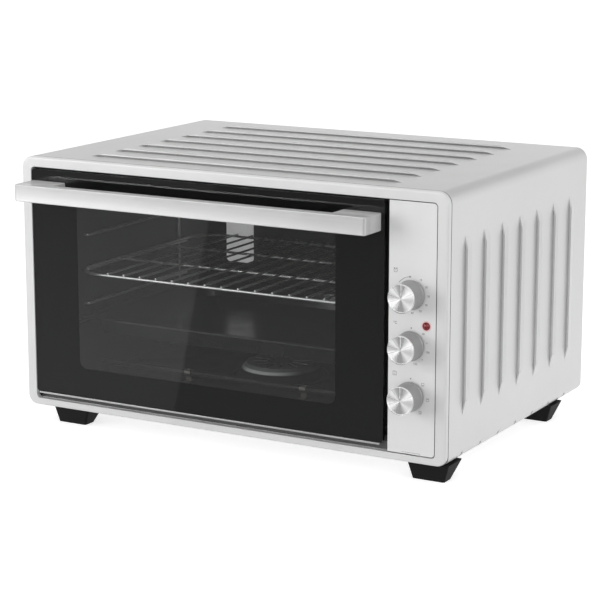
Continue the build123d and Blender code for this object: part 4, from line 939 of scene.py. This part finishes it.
@dataclass
class Stroke:
    """Flat marks just in front of the control panel, print or a dark line of painted shadow, gathered into one
    mesh.
    """

    front: float
    thick: float = 0.03 * MM
    lift: float = 0.005 * MM
    shape: bmesh.types.BMesh = field(default_factory=bmesh.new)

    def plate(self, outline: Sequence[Spot]) -> None:
        """Adds one closed mark.

        Args:
            outline: x and z of its corners, in metres.
        """
        front = [self.shape.verts.new((x, self.front - self.thick, z)) for x, z in outline]
        rear = [self.shape.verts.new((x, self.front - self.lift, z)) for x, z in outline]
        self.shape.faces.new(front)
        self.shape.faces.new(list(reversed(rear)))
        for i in range(len(outline)):
            j = (i + 1) % len(outline)
            self.shape.faces.new((front[i], rear[i], rear[j], front[j]))

    def bar(self, start: Spot, end: Spot, width: float) -> None:
        """Adds a straight line.

        Args:
            start: x and z of one end.
            end: x and z of the other end.
            width: the line's width.
        """
        along = Vector((end[0] - start[0], end[1] - start[1])).normalized() * width / 2
        corners = ((start, 1), (end, 1), (end, -1), (start, -1))
        self.plate([(x - side * along.y, z + side * along.x) for (x, z), side in corners])

    def arc(self, centre: Spot, radius: float, width: float, start: float = 0, end: float = 360) -> None:
        """Adds a curved line.

        Args:
            centre: x and z of its middle.
            radius: radius of its middle line.
            width: the line's width.
            start: first angle in degrees, clockwise from straight up.
            end: last angle in degrees.
        """
        steps = max(6, int(abs(end - start) / 8))
        angles = [start + (end - start) * i / steps for i in range(steps + 1)]
        for first, second in zip(angles, angles[1:]):
            corners = ((first, 1), (second, 1), (second, -1), (first, -1))
            self.plate([around(centre, angle, radius + side * width / 2) for angle, side in corners])

    def text(self, words: str, centre: Spot, height: float) -> None:
        """Adds a number or a unit.

        Args:
            words: what is printed.
            centre: x and z of its middle.
            height: height of its figures.
        """
        curve = bpy.data.curves.new("figures", "FONT")
        curve.body = words
        curve.size = height * 1.4
        curve.align_x = "CENTER"
        curve.align_y = "CENTER"
        curve.extrude = self.thick / 2
        curve.resolution_u = 3
        carrier = linked("figures", curve)
        flat = evaluated(carrier)
        turn = Matrix.Rotation(math.radians(90), 4, "X")
        flat.transform(Matrix.Translation((centre[0], self.front - self.thick / 2, centre[1])) @ turn)
        self.shape.from_mesh(flat)
        bpy.data.objects.remove(carrier)
        bpy.data.curves.remove(curve)
        bpy.data.meshes.remove(flat)


def around(centre: Spot, angle: float, reach: float) -> Spot:
    """Point at a reach from a middle, at degrees clockwise from straight up."""
    turn = math.radians(angle)
    return (centre[0] + reach * math.sin(turn), centre[1] + reach * math.cos(turn))


def solid_boxes(name: str) -> list[tuple[Vector, Vector]]:
    """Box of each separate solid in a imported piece.

    Args:
        name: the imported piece.

    Returns:
        The lowest and highest corner of each, in order of x, then y, then z.
    """
    shape = bmesh.new()
    shape.from_mesh(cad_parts[name].data)
    bmesh.ops.remove_doubles(shape, verts=shape.verts, dist=1e-6)
    left = set(shape.verts)
    boxes = []
    while left:
        queue = [left.pop()]
        solid = []
        while queue:
            vert = queue.pop()
            solid.append(vert.co)
            for edge in vert.link_edges:
                other = edge.other_vert(vert)
                if other in left:
                    left.remove(other)
                    queue.append(other)
        boxes.append(tuple(Vector(pick(axis) for axis in zip(*solid)) for pick in (min, max)))
    shape.free()
    return sorted(boxes, key=lambda pair: [round(value, 4) for value in pair[0]])


@dataclass
class CrossScrews:
    """Screws with a cross recess, one mesh that stands for a packed group of plain ones."""

    shop: Workshop
    packed: str
    body: str
    head_height: float
    direction: Vector = BACK
    domed: bool = True
    shank_radius: float = 2.0 * MM
    recess_reach: float = 0.56
    recess_width: float = 0.13
    recess_taper: float = 0.62
    recess_floor: float = 0.25
    head_radius: float = field(init=False)
    shank_length: float = field(init=False)

    def build(self) -> None:
        """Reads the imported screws' places and sizes, and puts the new ones there."""
        boxes = solid_boxes(self.packed)
        axis, sign = (1, 1) if self.direction == BACK else (2, -1)
        low, high = boxes[0]
        tip, tail = (high[axis], low[axis]) if sign > 0 else (low[axis], high[axis])
        seat = tip - sign * self.head_height
        self.head_radius = (high.x - low.x) / 2
        self.shank_length = abs(seat - tail)
        name = self.packed.replace("screws", "screw_heads")
        single = self.one(name + "_one")
        chance = random.Random(SEED)
        swing = BACK.rotation_difference(self.direction).to_matrix().to_4x4()
        shape = bmesh.new()
        for first, last in boxes:
            place = (first + last) / 2
            place[axis] = seat
            copy = single.copy()
            spin = Matrix.Rotation(chance.uniform(0, math.pi), 4, "Y")
            copy.transform(Matrix.Translation(place) @ swing @ spin)
            shape.from_mesh(copy)
            bpy.data.meshes.remove(copy)
        bpy.data.meshes.remove(single)
        mesh = smooth(meshed(shape, name), 30)
        made = self.shop.piece(mesh, Look.SCREW, self.body, "screw_steel")
        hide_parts(self.packed)

    def one(self, name: str) -> Mesh:
        """One screw along Y with its seat at y = 0 and its head towards +Y.

        Args:
            name: the mesh's name.

        Returns:
            The screw's mesh.
        """
        head = ((0.0, 1.0), (0.9, 1.0), (1.0, 0.85), (1.0, 0.0))
        if self.domed:
            head = ((0.0, 1.0), (0.62, 1.0), (0.86, 0.86), (0.97, 0.6), (1.0, 0.3), (1.0, 0.0))
        profile = [(self.head_radius * across, self.head_height * up) for across, up in head]
        profile += [(self.shank_radius, 0.0), (self.shank_radius, -self.shank_length * 0.94)]
        profile += [(self.shank_radius * 0.6, -self.shank_length), (0.0, -self.shank_length)]
        body = linked(name, turned_mesh(name, profile, Vector((0, 0, 0)), 32))
        cutters = [self.wing(name + "_wing", turn) for turn in (0.0, 90.0)]
        for cutter in cutters:
            cut = body.modifiers.new("recess", "BOOLEAN")
            cut.operation = "DIFFERENCE"
            cut.solver = "EXACT"
            cut.object = cutter
        mesh = evaluated(body)
        for used in [body, *cutters]:
            bpy.data.objects.remove(used)
        return mesh

    def wing(self, name: str, turn: float) -> Object:
        """One tapered wing of the recess.

        Args:
            name: the object's name.
            turn: its turn about the screw in degrees.

        Returns:
            The cutting object.
        """
        reach, thick = self.head_radius * self.recess_reach, self.head_radius * self.recess_width
        shape = bmesh.new()
        corners = []
        for up, share in ((1.2, 1.0), (self.recess_floor, self.recess_taper)):
            y = self.head_height * up
            for sx, sz in SQUARE:
                corners.append(shape.verts.new((sx * reach * share, y, sz * thick)))
        for face in ((0, 1, 2, 3), (7, 6, 5, 4), (0, 4, 5, 1), (1, 5, 6, 2), (2, 6, 7, 3), (3, 7, 4, 0)):
            shape.faces.new([corners[i] for i in face])
        mesh = meshed(shape, name, outward=True)
        mesh.transform(Matrix.Rotation(math.radians(turn), 4, "Y"))
        return linked(name, mesh)


@dataclass
class Casing:
    """Outer sheets, their screws, the lead's bush and the feet."""

    shop: Workshop
    pan_head: float = 1.8 * MM
    foot_head: float = 3.0 * MM

    def build(self) -> None:
        """Dresses the outer sheets and replaces the plain screws."""
        self.shop.dress({
            Look.CASING: "casing_wrap",
            Look.ZINC: "bottom_panel rear_panel partition",
            Look.FRAME: "front_frame",
            Look.RUBBER: "cord_gland",
            Look.TERMINAL: "terminal_block",
            Look.FOOT: "foot_front_left foot_front_right foot_rear_left foot_rear_right",
        })
        CrossScrews(self.shop, "rear_screws", "oven", self.pan_head).build()
        CrossScrews(self.shop, "foot_screws", "oven", self.foot_head, DOWN, domed=False).build()


@dataclass
class Cavity:
    """The hot box and what hangs in it."""

    shop: Workshop

    def build(self) -> None:
        """Dresses the box, its wires, its heaters and its lamp glass."""
        self.shop.dress({
            Look.CAVITY: "cavity_shell cavity_back",
            Look.FLOOR: "cavity_floor",
            Look.CHASSIS: "cavity_front",
            Look.DOME: "floor_dome",
            Look.SILL: "lower_sill",
            Look.WIRE: "runner_left runner_right wire_rack",
            Look.HEATER: "upper_heaters lower_heaters",
            Look.CLIP: "heater_clips",
            Look.BULB: "thermostat_bulb",
            Look.LAMP: "lamp_cover",
            Look.TRAY: "baking_tray",
        })


@dataclass
class Dial:
    """Printing round one dial."""

    ink: Stroke
    centre: Spot
    radius: float = 19.6 * MM
    figure: float = 2.3 * MM
    fine: float = 0.35 * MM
    medium: float = 0.4 * MM
    bold: float = 0.45 * MM
    dot: float = 0.55 * MM
    sign_left: float = 19.5 * MM

    def at(self, angle: float, out_mm: float = 0.0) -> Spot:
        """Point at an angle on the scale, or a little outside it."""
        return around(self.centre, angle, self.radius + out_mm * MM)

    def above(self, up_mm: float) -> Spot:
        """Middle of the sign that stands above the dial at its left."""
        return (self.centre[0] - self.sign_left, self.centre[1] + up_mm * MM)

    def off(self) -> None:
        """Dot straight above the dial, where it is off."""
        self.ink.arc(self.at(0), self.dot, 0.5 * MM)

    def timer(self) -> None:
        """Minutes, with an arc that shows the way to wind and a small clock sign."""
        self.ink.arc(self.centre, self.radius, self.bold, -52, -6)
        self.ink.plate([self.at(angle, out) for angle, out in ((-1, 0.0), (-8, -1.1), (-8, 1.1))])
        for i, minutes in enumerate(range(10, 91, 10)):
            self.ink.text(str(minutes), self.at(32 + i * 29, 0.6), self.figure)
        sign = self.above(25.2)
        self.ink.arc(sign, 2.1 * MM, self.medium)
        self.ink.bar(sign, (sign[0], sign[1] + 1.4 * MM), self.fine)
        self.ink.bar(sign, (sign[0] + 1.0 * MM, sign[1]), self.fine)
        for turn in (-35, 35):
            self.ink.arc(around(sign, turn, 2.7 * MM), 0.45 * MM, self.medium)

    def thermostat(self) -> None:
        """Degrees from 50 to 250 with ticks between, and the unit."""
        for i in range(9):
            angle = 45 + i * 30
            if i % 2 == 0:
                self.ink.text(str(50 + i * 25), self.at(angle, 1.0), self.figure)
            else:
                self.ink.bar(self.at(angle, -0.9), self.at(angle, 1.1), self.bold)
        self.off()
        self.ink.text("°C", self.above(23.6), 3.1 * MM)

    def function(self) -> None:
        """Small signs for off, lower heat, upper heat and both."""
        self.off()
        up, down = 0.5, -0.5
        for angle, bars in ((45, [down]), (95, [up]), (145, [up, down]), (205, [up]), (255, [down])):
            self.heat_sign(self.at(angle, 1.2), 1.5 * MM, bars)
        self.heat_sign(self.above(23.7), 2.2 * MM, [up, down])

    def heat_sign(self, middle: Spot, half: float, bars: Sequence[float]) -> None:
        """Small square with a bar for each heater that is on.

        Args:
            middle: x and z of its middle.
            half: half its width.
            bars: height of each bar over the middle, as a share of that half.
        """
        mx, mz = middle
        width = 0.3 * MM
        corners = [(mx + sx * half, mz + sz * half) for sx, sz in SQUARE]
        for first, second in zip(corners, corners[1:] + corners[:1]):
            self.ink.bar(first, second, width)
        for lift in bars:
            ends = ((mx + side * half * 0.55, mz + half * lift) for side in (-1, 1))
            self.ink.bar(*ends, width * 1.3)


@dataclass
class Controls:
    """Panel with its printing, dials, pilot lamp and the switches behind."""

    shop: Workshop
    # Width of the painted shadow line along the panel's edge
    edge: float = 0.45 * MM
    corner: float = 4.4 * MM
    sheet: float = 0.6 * MM
    front: float = field(init=False)

    def build(self) -> None:
        """Dresses the panel and its dials, and prints the scales."""
        self.shop.dress({
            Look.PANEL: "control_panel",
            Look.PILOT: "pilot_lens",
            Look.SWITCH: "pilot_holder timer_unit thermostat_unit function_switch",
            Look.KNOB: "timer_knob thermostat_knob function_knob",
            Look.CAP: "timer_cap thermostat_cap function_cap",
            Look.SHAFT: "timer_shaft thermostat_shaft function_shaft",
        })
        # Y of the panel's face, one sheet in front of the switches and behind the panel's small raised lip
        self.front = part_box("timer_unit")[0].y + self.sheet
        makers = {"timer": Dial.timer, "thermostat": Dial.thermostat, "function": Dial.function}
        for name, marks in makers.items():
            low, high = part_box(name + "_cap")
            dial = Dial(Stroke(self.front), ((low.x + high.x) / 2, (low.z + high.z) / 2))
            marks(dial)
            self.finish_marks(dial.ink, name + "_printing", Look.INK)
        self.panel_gap_shadow()
        self.pilot_ring()

    def finish_marks(self, marks: Stroke, name: str, look: Look) -> None:
        """Ends a group of marks and makes it a piece."""
        self.shop.piece(meshed(marks.shape, name, outward=True), look, "oven", "panel_steel")

    def panel_gap_shadow(self) -> None:
        """Dark line of painted shadow along the panel's pressed edge, where its gap is, above, at the right
        and below.
        """
        low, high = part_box("control_panel")
        width, bend = self.edge, self.corner - self.edge / 2
        right = high.x - width / 2
        inner = high.x - self.corner
        line = Stroke(self.front)
        for level, side, turn in ((high.z, -1, 0), (low.z, 1, 90)):
            edge = level + side * width / 2
            line.bar((low.x, edge), (inner, edge), width)
            line.arc((inner, level + side * self.corner), bend, width, turn, turn + 90)
        line.bar((right, low.z + self.corner), (right, high.z - self.corner), width)
        self.finish_marks(line, "panel_gap_shadow_line", Look.GAP_SHADOW)

    def pilot_ring(self) -> None:
        """Pale ring round the pilot lamp."""
        low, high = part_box("pilot_lens")
        inner = (high.x - low.x) / 2 + 0.1 * MM
        outer = inner + 1.3 * MM
        rear = self.front - 0.01 * MM
        profile = [(inner, rear), (inner, self.front - 0.18 * MM), (outer - 0.5 * MM, self.front - 0.14 * MM)]
        profile += [(outer, rear), (inner, rear)]
        mesh = smooth(turned_mesh("pilot_ring", profile, (low + high) / 2, 48), 35)
        self.shop.piece(mesh, Look.RING, "oven", "panel_steel")


@dataclass
class Door:
    """Pane with its border, inner frame, handle, hinge and stays."""

    shop: Workshop
    handle_head: float = 2.2 * MM

    def build(self) -> None:
        """Dresses every piece of the door."""
        self.shop.dress({
            Look.GLASS: "door_glass",
            Look.BORDER: "glass_border",
            Look.DOOR_INNER: "door_frame",
            Look.TRIM: "door_trim",
            Look.HANDLE: "handle_bar",
            Look.BLOCK: "handle_mount_left handle_mount_right",
            Look.HINGE: "stay_arm_left stay_arm_right hinge_bracket_left hinge_bracket_right",
            Look.SCREW: "hinge_pins",
        })
        CrossScrews(self.shop, "handle_screws", "door", self.handle_head).build()


@dataclass
class Studio:
    """Pale floor, soft lamps, reflection cards and the camera."""

    ambient: float = 0.62
    floor_reach: float = 40.0
    floor_grey: float = 0.62
    floor_glow: float = 0.16
    floor_white: float = 0.7
    card_low: float = 0.0015
    card_fade: float = 0.6
    camera_place: Point = (1.21103, -2.14943, 0.67713)
    camera_aim: Point = (-0.4805, 0.8512, -0.2113)
    camera_lens: float = 125.03
    camera_sensor: float = 36.0

    def build(self) -> None:
        """Sets up everything that isn't part of the oven."""
        self.world()
        self.floor()
        self.lamps()
        self.cards()
        self.camera()
        bpy.context.scene.view_settings.view_transform = "Standard"

    def seen(self, graph: Graph, light: float, look: float) -> NodeSocket:
        """Strength that differs between light that is gathered and what is looked at.

        Args:
            graph: the graph that asks.
            light: strength where light is gathered.
            look: strength where the eye, metal or glass looks.

        Returns:
            The strength.
        """
        rays = graph.node("LightPath").outputs
        first = graph.maths("ADD", rays["Is Camera Ray"], rays["Is Glossy Ray"], clamp=True)
        looked = graph.maths("ADD", first, rays["Is Transmission Ray"], clamp=True)
        return graph.span(looked, 0.0, 1.0, light, look)

    def world(self) -> None:
        """White surroundings: full white to the eye, softer as light."""
        world = bpy.data.worlds.new("white_room")
        world.use_nodes = True
        graph = Graph(world.node_tree)
        back = graph.node("Background", {"Color": WHITE, "Strength": self.seen(graph, self.ambient, 1.0)})
        graph.node("OutputWorld", {"Surface": back.outputs[0]})
        bpy.context.scene.world = world

    def stage_piece(self, name: str, corners: Sequence[Point]) -> tuple[Object, Graph]:
        """Adds a flat face that isn't part of the oven.

        Args:
            name: its name and its material's.
            corners: its corners.

        Returns:
            The object and its material's empty graph.
        """
        shape = bmesh.new()
        shape.faces.new([shape.verts.new(corner) for corner in corners])
        mesh = meshed(shape, name)
        material = bpy.data.materials.new(name)
        material.use_nodes = True
        mesh.materials.append(material)
        made = linked(name, mesh)
        return (made, Graph(material.node_tree))

    def floor(self) -> None:
        """Pale floor that keeps the soft shadow."""
        reach = self.floor_reach
        corners = [(x * reach, y * reach, 0) for x, y in SQUARE]
        _floor, graph = self.stage_piece("studio_floor", corners)
        pale = self.floor_grey
        paper = graph.node("BsdfDiffuse", {"Color": (pale, pale, pale, 1.0)})
        glow = self.seen(graph, self.floor_glow, self.floor_white)
        lift = graph.node("Emission", {"Color": WHITE, "Strength": glow})
        both = graph.node("AddShader", {0: paper.outputs[0], 1: lift.outputs[0]})
        graph.node("OutputMaterial", {"Surface": both.outputs[0]})

    def lamps(self) -> None:
        """Large soft lamps above, at both sides and behind."""
        middle = (0.0, 0.0, 0.15)
        # Name, place, aim, size, watts and whether gloss mirrors the lamp
        places = (
            ("lamp_above", (0.1, 0.7, 1.2), (0.0, 0.3, 0.3), 0.8, 3.4, False),
            ("lamp_left", (-2.2, -2.6, 0.75), middle, 1.8, 40.0, True),
            ("lamp_right", (2.8, -1.2, 1.2), middle, 1.8, 14.0, True),
            ("lamp_back", (0.3, 2.8, 2.0), middle, 2.0, 5.0, False),
        )
        for name, place, aim, size, power, mirrored in places:
            lamp = bpy.data.lights.new(name, "AREA")
            lamp.shape = "SQUARE"
            lamp.size = size
            lamp.energy = power
            made = linked(name, lamp)
            made.location = place
            made.rotation_euler = (Vector(aim) - Vector(place)).to_track_quat("-Z", "Y").to_euler()
            made.visible_glossy = mirrored
            made.visible_camera = False

    def cards(self) -> None:
        """Grey cards that only gloss and glass see, which keep the pane dark as a studio's black flags do."""
        near, far, low = -0.21, -4.0, self.card_low
        split, split_far = (-0.094, near, low), (-2.296, far, low)
        outlines = (
            ("card_left", (split, split_far, (-6.0, far, low), (-6.0, near, low)), 0.62),
            ("card_right", (split, (3.0, near, low), (3.0, far, low), split_far), 0.4),
            ("card_back", [(x, 2.6, z) for x, z in ((-2.5, 1.3), (3.5, 1.3), (3.5, 5.0), (-2.5, 5.0))], 0.25),
        )
        for name, outline, level in outlines:
            card, graph = self.stage_piece(name, outline)
            strength = graph.span(graph.axis(graph.place(), "Y"), -2.0, -0.3, level * self.card_fade, level)
            glow = graph.node("Emission", {"Color": WHITE, "Strength": strength})
            mirrored = graph.maths("GREATER_THAN", graph.node("LightPath").outputs["Glossy Depth"], 0.5)
            gone = graph.node("BsdfTransparent")
            mix = graph.node("MixShader", {0: mirrored, 1: gone.outputs[0], 2: glow.outputs[0]})
            graph.node("OutputMaterial", {"Surface": mix.outputs[0]})
            for rays in ("camera", "diffuse", "shadow", "volume_scatter"):
                setattr(card, "visible_" + rays, False)

    def camera(self) -> None:
        """Camera at the photograph's viewing angle."""
        data = bpy.data.cameras.new("camera")
        data.sensor_fit = "HORIZONTAL"
        data.sensor_width = self.camera_sensor
        data.lens = self.camera_lens
        data.clip_end = 100.0
        made = linked("camera", data)
        made.location = self.camera_place
        made.rotation_euler = Vector(self.camera_aim).to_track_quat("-Z", "Y").to_euler()
        bpy.context.scene.camera = made


def main() -> None:
    """Builds the looks of the whole oven in order."""
    logging.basicConfig(level=logging.INFO, format="%(name)s: %(message)s")
    shop = Workshop()
    for assembly in (Casing(shop), Cavity(shop), Controls(shop), Door(shop)):
        LOG.info("building %s", type(assembly).__name__)
        assembly.build()
    Studio().build()


if __name__ == "__main__":
    main()
